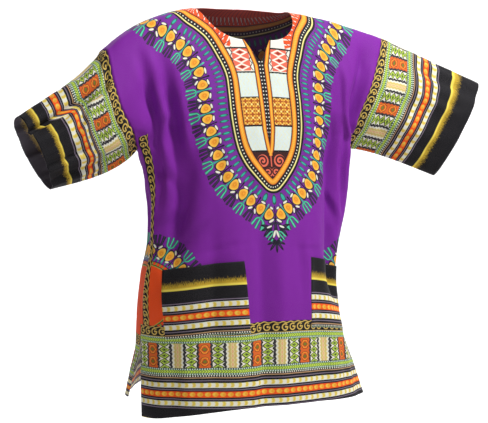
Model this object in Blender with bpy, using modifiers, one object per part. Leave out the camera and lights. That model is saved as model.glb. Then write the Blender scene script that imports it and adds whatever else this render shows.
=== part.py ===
"""A dashiki shirt as it is worn: front, back, two sleeves and two patch pockets.

Metres, +Z up, the front towards -Y, the wearer's left towards +X. The origin lies between the
shoulders, level with the neck points of the shoulder seams, where the wearer holds the shirt up.

Each piece starts as its flat cut, a grid in cloth coordinates, and is moved to its worn place.
On a body panel "across" runs from the centre towards the wearer's left and "down" from the
shoulder seam to the hem. On a sleeve "round" runs from the shoulder seam down the front (plus)
or the back (minus) to the underarm seam, and "along" from the armhole to the cuff.
"""

import math

import bmesh
import bpy
import numpy as np

# Driving sizes of the cut
SHOULDER_HALF = 0.320
CHEST_HALF = 0.302
HEM_HALF = 0.312
BODY_LENGTH = 0.800
ARMHOLE_DEPTH = 0.260
VENT_TOP = 0.660
NECK_HALF = 0.105
NECK_FRONT = 0.090
NECK_BACK = 0.020
SLIT_HALF = 0.029
SLIT_FOOT = 0.136
SLEEVE_LENGTH = 0.245
POCKET_TOP = 0.510
POCKET_FOOT = 0.648
POCKET_FIRST_COLUMN = 4
POCKET_LAST_COLUMN = 14

# The wall and the gaps between pieces
CLOTH = 0.0012
SEAM_GAP = 0.0003
SLEEVE_GAP = 0.0009
POCKET_STAND_OFF = 0.0004
POCKET_MOUTH_STAND_OFF = 0.0012

# The grid of each cut
NECK_COLUMNS = 6
SLIT_COLUMNS = 2
HALF_COLUMNS = 18
SLEEVE_ROWS = 12
EVEN_SPACING_FROM = 0.200
NECK_ROWS_END = 0.320
PANEL_ROWS = (
    0.0, 0.005, 0.015, 0.032, 0.055, 0.085, 0.115, 0.145, 0.175, 0.205, 0.235, ARMHOLE_DEPTH,
    0.287, 0.315, 0.343, 0.371, 0.399, 0.427, 0.455, 0.483, POCKET_TOP, 0.533, 0.556, 0.579,
    0.602, 0.625, POCKET_FOOT, 0.673, 0.698, 0.723, 0.749, 0.774, BODY_LENGTH,
)

# The side line of the body: the armhole down to the underarm, then the side seam to the hem.
# right and left are distances from the middle plane, the heights and the depth are coordinates.
SEAM_COLUMNS = ("down", "right", "left", "right_height", "left_height", "depth")
SEAM = (
    (0.000, 0.298, 0.320, -0.082, -0.037, -0.025),
    (0.018, 0.300, 0.314, -0.085, -0.041, -0.025),
    (0.065, 0.301, 0.285, -0.130, -0.092, -0.028),
    (0.130, 0.293, 0.256, -0.180, -0.150, -0.030),
    (0.195, 0.264, 0.235, -0.228, -0.210, -0.030),
    (0.260, 0.232, 0.229, -0.266, -0.268, -0.030),
    (0.320, 0.212, 0.214, -0.322, -0.329, -0.022),
    (0.400, 0.197, 0.207, -0.401, -0.408, -0.012),
    (0.460, 0.197, 0.201, -0.459, -0.466, -0.008),
    (0.520, 0.207, 0.196, -0.516, -0.525, -0.005),
    (0.590, 0.214, 0.203, -0.583, -0.586, -0.002),
    (0.660, 0.214, 0.222, -0.650, -0.652, 0.000),
    (0.730, 0.219, 0.243, -0.717, -0.712, 0.000),
    (0.800, 0.220, 0.264, -0.783, -0.766, 0.000),
)

# The middle line of each panel, its shift to the wearer's left, and how far its edge leaves the
# side line, outwards in depth (the armhole and the vent) and upwards (the back hem's corners).
LINE_COLUMNS = ("down", "shift", "depth", "height", "edge_depth", "edge_rise")
FRONT_LINE = (
    (0.000, 0.000, 0.000, 0.013, 0.000, 0.000),
    (0.018, 0.001, -0.018, 0.010, 0.016, 0.000),
    (0.054, 0.005, -0.047, -0.019, 0.038, 0.000),
    (0.128, 0.010, -0.073, -0.093, 0.056, 0.000),
    (0.202, 0.011, -0.093, -0.165, 0.042, 0.000),
    (0.260, 0.011, -0.105, -0.222, 0.000, 0.000),
    (0.320, 0.011, -0.115, -0.282, 0.000, 0.000),
    (0.396, 0.011, -0.127, -0.358, 0.000, 0.000),
    (0.497, 0.011, -0.138, -0.458, 0.000, 0.000),
    (0.597, 0.011, -0.145, -0.558, 0.000, 0.000),
    (0.660, 0.011, -0.147, -0.621, 0.004, 0.000),
    (0.730, 0.011, -0.148, -0.691, 0.012, 0.000),
    (0.800, 0.011, -0.149, -0.761, 0.018, 0.000),
)
BACK_LINE = (
    (0.000, 0.000, 0.000, 0.013, 0.000, 0.000),
    (0.018, 0.000, 0.018, 0.011, 0.016, 0.000),
    (0.054, 0.000, 0.052, -0.001, 0.037, 0.000),
    (0.110, 0.000, 0.086, -0.045, 0.054, 0.000),
    (0.182, 0.000, 0.106, -0.114, 0.046, 0.000),
    (0.260, 0.000, 0.112, -0.191, 0.000, 0.000),
    (0.345, 0.000, 0.108, -0.276, 0.000, 0.000),
    (0.440, 0.000, 0.099, -0.370, 0.000, 0.000),
    (0.540, 0.000, 0.099, -0.469, 0.000, 0.000),
    (0.620, 0.000, 0.109, -0.548, 0.000, 0.000),
    (0.660, 0.000, 0.115, -0.588, 0.004, 0.000),
    (0.730, 0.000, 0.127, -0.657, 0.024, 0.010),
    (0.800, 0.000, 0.138, -0.726, 0.046, 0.028),
)
SQUARENESS = 0.84
FALL_POWER = 2.4
ARMHOLE_SHAPE_END = 0.258
ARMHOLE_SHAPE_START = 0.110

# Folds of a panel: a trough (plus depth) or a ridge (minus depth) that runs from the upper to the
# lower end, with its half width at each end. lean makes one side steeper than the other.
FOLD_COLUMNS = ("across_top", "down_top", "across_low", "down_low", "width_top", "width_low", "depth", "lean")
FRONT_FOLDS = (
    (-0.236, 0.085, -0.262, 0.400, 0.016, 0.020, 0.016, 0.30),
    (-0.196, 0.105, -0.226, 0.560, 0.024, 0.026, 0.022, -0.25),
    (-0.270, 0.240, -0.286, 0.640, 0.015, 0.020, -0.008, 0.00),
    (-0.128, 0.380, -0.140, 0.800, 0.022, 0.020, 0.007, 0.20),
    (-0.082, 0.420, -0.084, 0.800, 0.020, 0.022, -0.003, 0.00),
    (-0.032, 0.400, -0.030, 0.860, 0.016, 0.022, 0.011, -0.40),
    (0.004, 0.420, 0.012, 0.860, 0.018, 0.024, -0.006, 0.00),
    (0.098, 0.460, 0.100, 0.860, 0.020, 0.026, 0.006, 0.00),
    (0.170, 0.190, 0.178, 0.640, 0.018, 0.024, 0.024, 0.45),
    (0.218, 0.060, 0.232, 0.500, 0.022, 0.026, -0.010, 0.00),
    (0.276, 0.030, 0.262, 0.250, 0.020, 0.018, 0.016, -0.20),
    (0.272, 0.260, 0.262, 0.560, 0.016, 0.018, 0.012, 0.20),
    (0.215, 0.560, 0.226, 0.860, 0.020, 0.030, 0.007, 0.00),
    (-0.215, 0.600, -0.222, 0.860, 0.020, 0.026, 0.006, 0.00),
)
BACK_FOLDS = (
    (-0.240, 0.090, -0.255, 0.520, 0.020, 0.024, 0.020, 0.30),
    (0.236, 0.080, 0.250, 0.500, 0.020, 0.024, 0.020, -0.30),
    (-0.172, 0.200, -0.190, 0.700, 0.022, 0.026, 0.016, -0.20),
    (0.165, 0.220, 0.180, 0.720, 0.022, 0.026, 0.017, 0.25),
    (-0.098, 0.260, -0.105, 0.860, 0.022, 0.026, 0.010, 0.20),
    (0.092, 0.300, 0.100, 0.860, 0.022, 0.028, 0.009, -0.20),
    (-0.020, 0.340, -0.012, 0.860, 0.020, 0.026, 0.008, 0.30),
    (0.045, 0.360, 0.050, 0.860, 0.020, 0.024, -0.006, 0.00),
    (-0.215, 0.520, -0.235, 0.860, 0.022, 0.028, 0.008, 0.00),
    (0.220, 0.520, 0.240, 0.860, 0.022, 0.028, 0.008, 0.00),
)

# The open end of each sleeve: its top and underarm points, the depth of its middle, half its
# front-to-back size, its turn about the upright, and how far the sleeve sags above and below.
CUFF_COLUMNS = (
    "top_out", "top_height", "under_out", "under_height", "depth", "half_depth", "turn",
    "top_sag", "under_sag",
)
RIGHT_CUFF = (0.465, -0.211, 0.401, -0.343, -0.010, 0.070, 0.105, 0.014, 0.018)
LEFT_CUFF = (0.538, -0.127, 0.427, -0.323, -0.070, 0.042, -0.190, 0.000, -0.010)
CUFF_TEARDROP = 0.22
SAG_POWER = 0.65

# Folds of a sleeve, as on the panels but from the armhole end to the cuff end
SLEEVE_FOLD_COLUMNS = ("round_start", "along_start", "round_end", "along_end", "width_start", "width_end", "depth")
RIGHT_SLEEVE_FOLDS = (
    (0.050, 0.020, 0.082, 0.300, 0.012, 0.017, 0.017),
    (0.012, 0.060, 0.040, 0.300, 0.018, 0.022, -0.005),
    (0.150, 0.030, 0.165, 0.200, 0.022, 0.022, 0.007),
    (0.222, 0.010, 0.196, 0.250, 0.018, 0.024, 0.009),
    (-0.075, 0.020, -0.095, 0.300, 0.018, 0.022, 0.012),
    (-0.165, 0.010, -0.180, 0.250, 0.020, 0.024, 0.009),
)
LEFT_SLEEVE_FOLDS = (
    (0.040, 0.050, 0.066, 0.300, 0.012, 0.016, 0.009),
    (0.120, 0.040, 0.140, 0.240, 0.024, 0.026, 0.006),
    (0.215, 0.010, 0.190, 0.250, 0.018, 0.024, 0.008),
    (-0.060, 0.020, -0.080, 0.300, 0.018, 0.022, 0.011),
    (-0.150, 0.010, -0.170, 0.260, 0.022, 0.024, 0.009),
)

# Samples for measuring cloth along a section, and the spacing of the sections
SECTION_SAMPLES = 241
SECTION_SPACING = 0.004

PURPLE = (0.19, 0.035, 0.35, 1.0)
BLACK = (0.012, 0.011, 0.016, 1.0)


def smooth_step(start, end, value):
    """0 before start, 1 after end, and a soft rise between them."""
    share = np.clip((value - start) / (end - start), 0.0, 1.0)
    return share * share * (3.0 - 2.0 * share)


def knot_slopes(knots, value):
    """Slopes at the knots of a smooth curve that never swings past the values it passes."""
    steps = np.diff(value) / np.diff(knots)
    before, after = steps[:-1], steps[1:]
    total = np.where(before * after > 0.0, before + after, 1.0)
    inner = np.where(before * after > 0.0, 2.0 * before * after / total, 0.0)
    return np.concatenate([steps[:1], inner, steps[-1:]])


def table_curves(names, rows, at):
    """The named columns of a table at the given values of its first column, as smooth curves."""
    table = np.array(rows)
    knots = table[:, 0]
    at = np.asarray(at, float)
    index = np.clip(np.searchsorted(knots, at, side="right") - 1, 0, len(knots) - 2)
    gap = knots[index + 1] - knots[index]
    share = np.clip((at - knots[index]) / gap, 0.0, 1.0)
    found = {}
    for column, name in enumerate(names[1:], start=1):
        value = table[:, column]
        slope = knot_slopes(knots, value)
        found[name] = (
            value[index] * (1.0 + 2.0 * share) * (1.0 - share) ** 2
            + slope[index] * gap * share * (1.0 - share) ** 2
            + value[index + 1] * share**2 * (3.0 - 2.0 * share)
            + slope[index + 1] * gap * share**2 * (share - 1.0)
        )
    return found


def cut_half_width(down):
    """Half the width of the flat body panel: the armhole curves in, the skirt flares."""
    armhole = SHOULDER_HALF + (CHEST_HALF - SHOULDER_HALF) * smooth_step(0.0, ARMHOLE_DEPTH, down)
    flare = (HEM_HALF - CHEST_HALF) * np.clip((down - VENT_TOP) / (BODY_LENGTH - VENT_TOP), 0.0, 1.0)
    return armhole + flare


def fold_relief(folds, first, second):
    """How far the cloth is pushed inwards by the folds. The fold tables run along second."""
    relief = np.zeros(np.broadcast(first, second).shape)
    for fold in folds:
        start_first, start_second, end_first, end_second, start_width, end_width, depth = fold[:7]
        lean = fold[7] if len(fold) > 7 else 0.0
        share = (second - start_second) / (end_second - start_second)
        inside = np.clip(share, 0.0, 1.0)
        middle = start_first + (end_first - start_first) * inside
        width = start_width + (end_width - start_width) * inside
        offset = (first - middle) / width
        offset = offset * (1.0 + lean * np.tanh(offset))
        fade = smooth_step(0.0, 0.30, share) * (1.0 - smooth_step(0.72, 1.0, share))
        relief = relief + depth * fade * np.exp(-(np.abs(offset) ** 1.8))
    return relief


def lengths_along(points):
    """Distance along each row of points from its first point."""
    steps = np.linalg.norm(np.diff(points, axis=1), axis=2)
    return np.concatenate([np.zeros((len(points), 1)), np.cumsum(steps, axis=1)], axis=1)


def flat_shares(points, width):
    """Where each point of a section lies on the flat cut, as a share of its half width. The cloth
    keeps its own measure by the middle line, and what it eases lies towards the side line."""
    run = lengths_along(points)
    centre = points.shape[1] // 2
    run = run - run[:, [centre]]
    length = np.where(run >= 0.0, run[:, [-1]], -run[:, [0]])
    return run / width * (1.0 + (width / length - 1.0) * (run / length) ** 2)


def outward_normals(points, facing):
    """Level unit vectors square to each row of points, on its outer side."""
    along = np.gradient(points, axis=1)
    normal = np.stack([along[..., 1], -along[..., 0], np.zeros(along.shape[:2])], axis=2) * facing
    return normal / np.maximum(np.linalg.norm(normal, axis=2, keepdims=True), 1e-9)


class BodyPanel:
    """The worn form of the front or the back: sections from side line to side line."""

    def __init__(self, line, folds, facing):
        self.downs = np.arange(0.0, BODY_LENGTH + SECTION_SPACING, SECTION_SPACING)
        seam = {k: v[:, None] for k, v in table_curves(SEAM_COLUMNS, SEAM, self.downs).items()}
        middle = {k: v[:, None] for k, v in table_curves(LINE_COLUMNS, line, self.downs).items()}
        angle = np.linspace(-0.5 * math.pi, 0.5 * math.pi, SECTION_SAMPLES)[None, :]
        side = 0.5 + 0.5 * np.sin(angle)
        half = seam["right"] + (seam["left"] - seam["right"]) * smooth_step(0.0, 1.0, side)
        edge_height = seam["right_height"] + (seam["left_height"] - seam["right_height"]) * side
        edge_height = edge_height + middle["edge_rise"]
        edge_depth = seam["depth"] + facing * middle["edge_depth"]
        closed = smooth_step(ARMHOLE_SHAPE_START, ARMHOLE_SHAPE_END, self.downs)[:, None]
        across_closed = np.sign(angle) * np.abs(np.sin(angle)) ** SQUARENESS
        across_open = np.sin(angle)
        across = across_open + (across_closed - across_open) * closed
        bulge_closed = np.cos(angle) ** SQUARENESS
        bulge_open = np.cos(angle) ** 2
        bulge = bulge_open + (bulge_closed - bulge_open) * closed
        lowering = np.abs(across) ** FALL_POWER
        base = np.stack(
            [
                half * across + middle["shift"] * bulge,
                edge_depth + (middle["depth"] - edge_depth) * bulge,
                middle["height"] + (edge_height - middle["height"]) * lowering,
            ],
            axis=2,
        )
        width = cut_half_width(self.downs)[:, None]
        shares = flat_shares(base, width)
        relief = fold_relief(folds, shares * width, self.downs[:, None])
        relief = relief * (1.0 - smooth_step(0.93, 1.0, np.abs(shares)))
        self.points = base - outward_normals(base, -facing) * relief[..., None]
        self.flat = flat_shares(self.points, width)

    def place(self, across, down):
        """The worn point of each flat point, across and down the cloth."""
        across, down = np.broadcast_arrays(np.asarray(across, float), np.asarray(down, float))
        share = (across / cut_half_width(down)).ravel()
        level = np.clip(down.ravel() / SECTION_SPACING, 0.0, len(self.downs) - 1.001)
        upper = level.astype(int)
        found = np.zeros((len(share), 3))
        for row in np.unique(upper):
            here = upper == row
            blend = level[here] - row
            for offset, weight in ((0, 1.0 - blend), (1, blend)):
                section = row + offset
                for axis in range(3):
                    found[here, axis] += weight * np.interp(
                        share[here], self.flat[section], self.points[section, :, axis]
                    )
        return found.reshape(across.shape + (3,))


class Sleeve:
    """The worn form of a sleeve: rings from the armhole of the two panels to the cuff."""

    def __init__(self, front, back, out, cuff, folds):
        self.front, self.back, self.out, self.folds = front, back, out, folds
        self.cuff = dict(zip(CUFF_COLUMNS, cuff))

    def armhole(self, turn):
        """The armhole's point, where turn runs from -1 at the back of the underarm to 1."""
        down = np.abs(turn) * ARMHOLE_DEPTH
        edge = self.out * cut_half_width(down)
        return np.where((turn >= 0.0)[:, None], self.front.place(edge, down), self.back.place(edge, down))

    def open_end(self, turn):
        """The cuff's point: narrow below, and turned with the arm."""
        cuff = self.cuff
        top = np.array([self.out * cuff["top_out"], cuff["depth"], cuff["top_height"]])
        under = np.array([self.out * cuff["under_out"], cuff["depth"], cuff["under_height"]])
        forward = np.array([self.out * math.sin(cuff["turn"]), -math.cos(cuff["turn"]), 0.0])
        angle = math.pi * turn
        rise = np.cos(angle)[:, None]
        reach = (np.sin(angle) * cuff["half_depth"] * (1.0 + CUFF_TEARDROP * np.cos(angle)))[:, None]
        return 0.5 * (top + under) + 0.5 * (top - under) * rise + forward * reach

    def place(self, round_, along):
        """The worn point of each flat point of one ring, at one distance along the sleeve."""
        turns = np.linspace(-1.0, 1.0, 2 * SECTION_SAMPLES + 1)
        share = along / SLEEVE_LENGTH
        ring = self.armhole(turns) * (1.0 - share) + self.open_end(turns) * share
        low = np.abs(turns) ** 2
        sag = self.cuff["top_sag"] * (1.0 - low) + self.cuff["under_sag"] * low
        ring[:, 2] -= sag * math.sin(math.pi * share**SAG_POWER)
        centre = 0.5 * (ring[len(turns) // 2] + ring[0])
        outward = ring - centre
        outward = outward / np.linalg.norm(outward, axis=1, keepdims=True)
        relief = fold_relief(self.folds, turns * ARMHOLE_DEPTH, np.full(len(turns), along))
        relief = relief * smooth_step(0.0, 0.12, share) * (1.0 - smooth_step(0.94, 1.0, np.abs(turns)))
        ring = ring - outward * relief[:, None]
        run = lengths_along(ring[None])[0]
        top = len(turns) // 2
        even = np.where(
            turns >= 0.0, (run - run[top]) / (run[-1] - run[top]), (run - run[top]) / run[top]
        )
        measured = turns + (even - turns) * smooth_step(0.0, 0.35, share)
        wanted = np.asarray(round_) / ARMHOLE_DEPTH
        return np.stack([np.interp(wanted, measured, ring[:, axis]) for axis in range(3)], axis=1)


def neckline(columns, neck_depth, slit_foot):
    """The flat points of half a neckline, from the shoulder seam to the middle."""
    slit = SLIT_COLUMNS if slit_foot > neck_depth else 0
    inner = SLIT_HALF if slit else 0.0
    angle = np.linspace(0.0, 0.5 * math.pi, columns - slit + 1)
    across = inner + (NECK_HALF - inner) * np.cos(angle) ** 0.9
    down = neck_depth * np.sin(angle) ** 0.9
    edge = list(zip(across, down))
    for step in range(1, slit + 1):
        share = step / slit
        edge.append((SLIT_HALF * (1.0 - share), neck_depth + (slit_foot - neck_depth) * share))
    return edge


def cut_grid(rows, neck_depth, slit_foot):
    """The flat cut of a panel as two grids, across and down, with the neck cut from the top."""
    neck_columns = NECK_COLUMNS + (SLIT_COLUMNS if slit_foot > neck_depth else 0)
    shoulder_columns = HALF_COLUMNS - neck_columns
    neck = neckline(neck_columns, neck_depth, slit_foot)
    seam = [
        (SHOULDER_HALF + (NECK_HALF - SHOULDER_HALF) * step / shoulder_columns, 0.0)
        for step in range(shoulder_columns)
    ]
    half = np.array(seam + neck)[::-1]
    top_across = np.concatenate([-half[:0:-1, 0], half[:, 0]])
    top_down = np.concatenate([half[:0:-1, 1], half[:, 1]])
    even = np.linspace(-1.0, 1.0, 2 * HALF_COLUMNS + 1)
    down = np.array(rows)[:, None]
    gather = smooth_step(0.0, EVEN_SPACING_FROM, down)
    neck_part = 1.0 - smooth_step(0.0, NECK_ROWS_END, down)
    downs = down + top_down[None, :] * neck_part
    share = top_across[None, :] / SHOULDER_HALF
    share = share + (even[None, :] - share) * gather
    return share * cut_half_width(downs), downs


def grid_object(name, points, colour, thickness, closed=False):
    """A cloth wall from a grid of worn points: an open surface with a Solidify modifier."""
    rows, columns = points.shape[:2]
    mesh_maker = bmesh.new()
    bmesh.ops.create_grid(mesh_maker, x_segments=columns - 1, y_segments=rows - 1, size=1.0)
    ordered = sorted(mesh_maker.verts, key=lambda v: (round(-v.co.y, 4), round(v.co.x, 4)))
    for vertex, point in zip(ordered, points.reshape(-1, 3)):
        vertex.co = point
    if closed:
        bmesh.ops.remove_doubles(mesh_maker, verts=mesh_maker.verts, dist=0.00002)
    bmesh.ops.triangulate(mesh_maker, faces=mesh_maker.faces, quad_method="FIXED")
    mesh = bpy.data.meshes.new(name)
    mesh_maker.to_mesh(mesh)
    mesh_maker.free()
    mesh.shade_smooth()
    piece = bpy.data.objects.new(name, mesh)
    wall = piece.modifiers.new("wall", "SOLIDIFY")
    wall.thickness = thickness
    wall.offset = 0.0
    mesh.materials.append(cloth_material(name + "_cloth", colour))
    return piece


def cloth_material(name, colour):
    material = bpy.data.materials.new(name)
    material.use_nodes = True
    shader = material.node_tree.nodes["Principled BSDF"]
    shader.inputs["Base Color"].default_value = colour
    shader.inputs["Roughness"].default_value = 0.75
    return material


def panel_points(panel, neck_depth, slit_foot):
    """The worn points of a panel's cut, drawn in by the gap at the shoulder and side seams."""
    across, down = cut_grid(PANEL_ROWS, neck_depth, slit_foot)
    limit = cut_half_width(down) - SEAM_GAP
    return panel.place(np.clip(across, -limit, limit), np.maximum(down, SEAM_GAP))


def surface_normals(points, facing):
    """Unit normals of a grid of points, on the outer side."""
    along_rows = np.gradient(points, axis=1)
    along_columns = np.gradient(points, axis=0)
    normal = np.cross(along_rows, along_columns) * facing
    return normal / np.linalg.norm(normal, axis=2, keepdims=True)


def pocket_points(front_grid, columns):
    """A patch pocket: the front's own points, moved out, a little more at the mouth."""
    first = PANEL_ROWS.index(POCKET_TOP)
    last = PANEL_ROWS.index(POCKET_FOOT)
    normals = surface_normals(front_grid, -1.0)
    patch = front_grid[first : last + 1, columns]
    outward = normals[first : last + 1, columns]
    middle = np.sin(np.linspace(0.0, math.pi, patch.shape[1]))[None, :]
    mouth = (1.0 - smooth_step(0.0, 3.0, np.arange(patch.shape[0])))[:, None] * middle
    lift = CLOTH + POCKET_STAND_OFF + POCKET_MOUTH_STAND_OFF * mouth
    return patch + outward * lift[..., None]


def sleeve_points(sleeve):
    """The worn points of a sleeve, ring by ring, with its first ring on the panels' own rows."""
    armhole_rows = [row for row in PANEL_ROWS if row <= ARMHOLE_DEPTH]
    round_ = np.array([-row for row in armhole_rows[:0:-1]] + armhole_rows)
    first = SLEEVE_GAP
    alongs = first + (SLEEVE_LENGTH - first) * np.linspace(0.0, 1.0, SLEEVE_ROWS + 1) ** 1.05
    return np.stack([sleeve.place(round_, along) for along in alongs])


def clear_scene():
    for old in list(bpy.data.objects):
        bpy.data.objects.remove(old, do_unlink=True)


def main():
    clear_scene()
    shirt = bpy.data.collections.new("dashiki_shirt")
    bpy.context.scene.collection.children.link(shirt)

    front = BodyPanel(FRONT_LINE, FRONT_FOLDS, -1.0)
    back = BodyPanel(BACK_LINE, BACK_FOLDS, 1.0)
    front_grid = panel_points(front, NECK_FRONT, SLIT_FOOT)
    back_grid = panel_points(back, NECK_BACK, NECK_BACK)
    middle = HALF_COLUMNS
    left_pocket = slice(middle + POCKET_FIRST_COLUMN, middle + POCKET_LAST_COLUMN + 1)
    right_pocket = slice(middle - POCKET_LAST_COLUMN, middle - POCKET_FIRST_COLUMN + 1)
    right_sleeve = Sleeve(front, back, -1.0, RIGHT_CUFF, RIGHT_SLEEVE_FOLDS)
    left_sleeve = Sleeve(front, back, 1.0, LEFT_CUFF, LEFT_SLEEVE_FOLDS)

    pieces = [
        grid_object("front", front_grid, PURPLE, CLOTH),
        grid_object("back", back_grid[:, ::-1], PURPLE, CLOTH),
        grid_object("pocket_right", pocket_points(front_grid, right_pocket), BLACK, CLOTH),
        grid_object("pocket_left", pocket_points(front_grid, left_pocket), BLACK, CLOTH),
        grid_object("sleeve_right", sleeve_points(right_sleeve), BLACK, CLOTH, closed=True),
        grid_object("sleeve_left", sleeve_points(left_sleeve)[:, ::-1], BLACK, CLOTH, closed=True),
    ]
    for piece in pieces:
        shirt.objects.link(piece)


main()
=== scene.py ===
"""Looks of the dashiki shirt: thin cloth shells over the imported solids, and the printed cotton.

Each piece starts as its flat cut and is moved to its worn place. On a body panel "across" runs
from the middle towards the wearer's left and "down" from the shoulder seam to the hem. On a
sleeve "round" runs from the shoulder seam down the front (plus) or the back (minus), and "along"
from the armhole to the cuff. The print is drawn by shader maths in these cloth coordinates.
"""

import math

import bmesh
import bpy
import numpy as np
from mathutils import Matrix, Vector


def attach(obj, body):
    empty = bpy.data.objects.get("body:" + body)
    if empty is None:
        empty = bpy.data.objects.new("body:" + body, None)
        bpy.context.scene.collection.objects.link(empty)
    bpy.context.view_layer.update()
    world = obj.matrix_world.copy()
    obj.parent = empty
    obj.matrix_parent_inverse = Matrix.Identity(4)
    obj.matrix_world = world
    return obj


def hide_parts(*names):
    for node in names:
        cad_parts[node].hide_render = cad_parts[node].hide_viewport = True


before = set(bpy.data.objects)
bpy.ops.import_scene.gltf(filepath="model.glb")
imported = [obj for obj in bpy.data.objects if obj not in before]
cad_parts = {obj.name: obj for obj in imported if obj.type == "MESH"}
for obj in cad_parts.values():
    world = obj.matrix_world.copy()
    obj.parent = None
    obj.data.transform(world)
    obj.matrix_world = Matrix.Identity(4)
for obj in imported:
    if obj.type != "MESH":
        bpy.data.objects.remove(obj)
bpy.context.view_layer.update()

# The cut
SHOULDER_HALF = 0.320
CHEST_HALF = 0.302
HEM_HALF = 0.312
BODY_LENGTH = 0.800
ARMHOLE_DEPTH = 0.260
VENT_TOP = 0.660
NECK_HALF = 0.105
NECK_FRONT = 0.090
NECK_BACK = 0.020
SLIT_HALF = 0.029
SLIT_FOOT = 0.136
SLEEVE_LENGTH = 0.245
POCKET_WIDTH = 0.170
POCKET_HEIGHT = 0.140

# The four corners of each pocket on the front: top ends, then foot ends
POCKETS = (
    ("pocket_right", ((-0.244, 0.505), (-0.075, 0.517), (-0.233, 0.644), (-0.065, 0.656))),
    ("pocket_left", ((0.080, 0.513), (0.248, 0.508), (0.078, 0.652), (0.246, 0.646))),
)

# The wall of cloth, its gap at the armhole, and how far the pockets stand off the front
CLOTH = 0.0007
SLEEVE_START = 0.0004
POCKET_LIFT = 0.0010
POCKET_MOUTH_LIFT = 0.0022

# The weave and the rows of stitches, each row from its edge
WARP_PITCH = 0.0011
WEFT_PITCH = 0.0012
WEAVE_HEIGHT = 0.00003
THREAD_HEIGHT = 0.00005
STITCH_PITCH = 0.0030
STITCH_DEPTH = 0.0004
HEM = 0.016
EDGE_STITCH = 0.0030
POCKET_HEM = 0.0180
POCKET_STITCH = 0.0028

# The grid of each cut, much finer than in the solids
NECK_COLUMNS = 24
SLIT_COLUMNS = 8
HALF_COLUMNS = 66
PANEL_ROW_STEPS = 165
PANEL_ROW_SPREAD = 1.06
SLEEVE_ROWS = 56
SLEEVE_HALF_COLUMNS = 56
POCKET_COLUMNS = 42
POCKET_ROWS = 36
EVEN_SPACING_FROM = 0.200
NECK_ROWS_END = 0.320
NECK_ROUNDNESS = 0.9
LINE_STEPS = 14
MERGE_DISTANCE = 0.00003

# The side line of the body and the middle line of each panel, as in the solids
SEAM_COLUMNS = ("down", "right", "left", "right_height", "left_height", "depth")
SEAM = (
    (0.000, 0.298, 0.320, -0.082, -0.037, -0.025),
    (0.018, 0.300, 0.314, -0.085, -0.041, -0.025),
    (0.065, 0.301, 0.285, -0.130, -0.092, -0.028),
    (0.130, 0.293, 0.256, -0.180, -0.150, -0.030),
    (0.195, 0.264, 0.235, -0.228, -0.210, -0.030),
    (0.260, 0.232, 0.229, -0.266, -0.268, -0.030),
    (0.320, 0.212, 0.214, -0.322, -0.329, -0.022),
    (0.400, 0.197, 0.207, -0.401, -0.408, -0.012),
    (0.460, 0.197, 0.201, -0.459, -0.466, -0.008),
    (0.520, 0.207, 0.196, -0.516, -0.525, -0.005),
    (0.590, 0.214, 0.203, -0.583, -0.586, -0.002),
    (0.660, 0.214, 0.222, -0.650, -0.652, 0.000),
    (0.730, 0.219, 0.243, -0.717, -0.712, 0.000),
    (0.800, 0.220, 0.264, -0.783, -0.766, 0.000),
)
LINE_COLUMNS = ("down", "shift", "depth", "height", "edge_depth", "edge_rise")
FRONT_LINE = (
    (0.000, 0.000, 0.000, 0.013, 0.000, 0.000),
    (0.018, 0.001, -0.018, 0.010, 0.016, 0.000),
    (0.054, 0.005, -0.047, -0.019, 0.038, 0.000),
    (0.128, 0.010, -0.073, -0.093, 0.056, 0.000),
    (0.202, 0.011, -0.093, -0.165, 0.042, 0.000),
    (0.260, 0.011, -0.105, -0.222, 0.000, 0.000),
    (0.320, 0.011, -0.115, -0.282, 0.000, 0.000),
    (0.396, 0.011, -0.127, -0.358, 0.000, 0.000),
    (0.497, 0.011, -0.138, -0.458, 0.000, 0.000),
    (0.597, 0.011, -0.145, -0.558, 0.000, 0.000),
    (0.660, 0.011, -0.147, -0.621, 0.004, 0.000),
    (0.730, 0.011, -0.148, -0.691, 0.012, 0.000),
    (0.800, 0.011, -0.149, -0.761, 0.018, 0.000),
)
BACK_LINE = (
    (0.000, 0.000, 0.000, 0.013, 0.000, 0.000),
    (0.018, 0.000, 0.018, 0.011, 0.016, 0.000),
    (0.054, 0.000, 0.052, -0.001, 0.037, 0.000),
    (0.110, 0.000, 0.086, -0.045, 0.054, 0.000),
    (0.182, 0.000, 0.106, -0.114, 0.046, 0.000),
    (0.260, 0.000, 0.112, -0.191, 0.000, 0.000),
    (0.345, 0.000, 0.108, -0.276, 0.000, 0.000),
    (0.440, 0.000, 0.099, -0.370, 0.000, 0.000),
    (0.540, 0.000, 0.099, -0.469, 0.000, 0.000),
    (0.620, 0.000, 0.109, -0.548, 0.000, 0.000),
    (0.660, 0.000, 0.115, -0.588, 0.004, 0.000),
    (0.730, 0.000, 0.127, -0.657, 0.024, 0.010),
    (0.800, 0.000, 0.138, -0.726, 0.046, 0.028),
)
SQUARENESS = 0.84
FALL_POWER = 2.4
ARMHOLE_SHAPE_END = 0.258
ARMHOLE_SHAPE_START = 0.110

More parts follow.
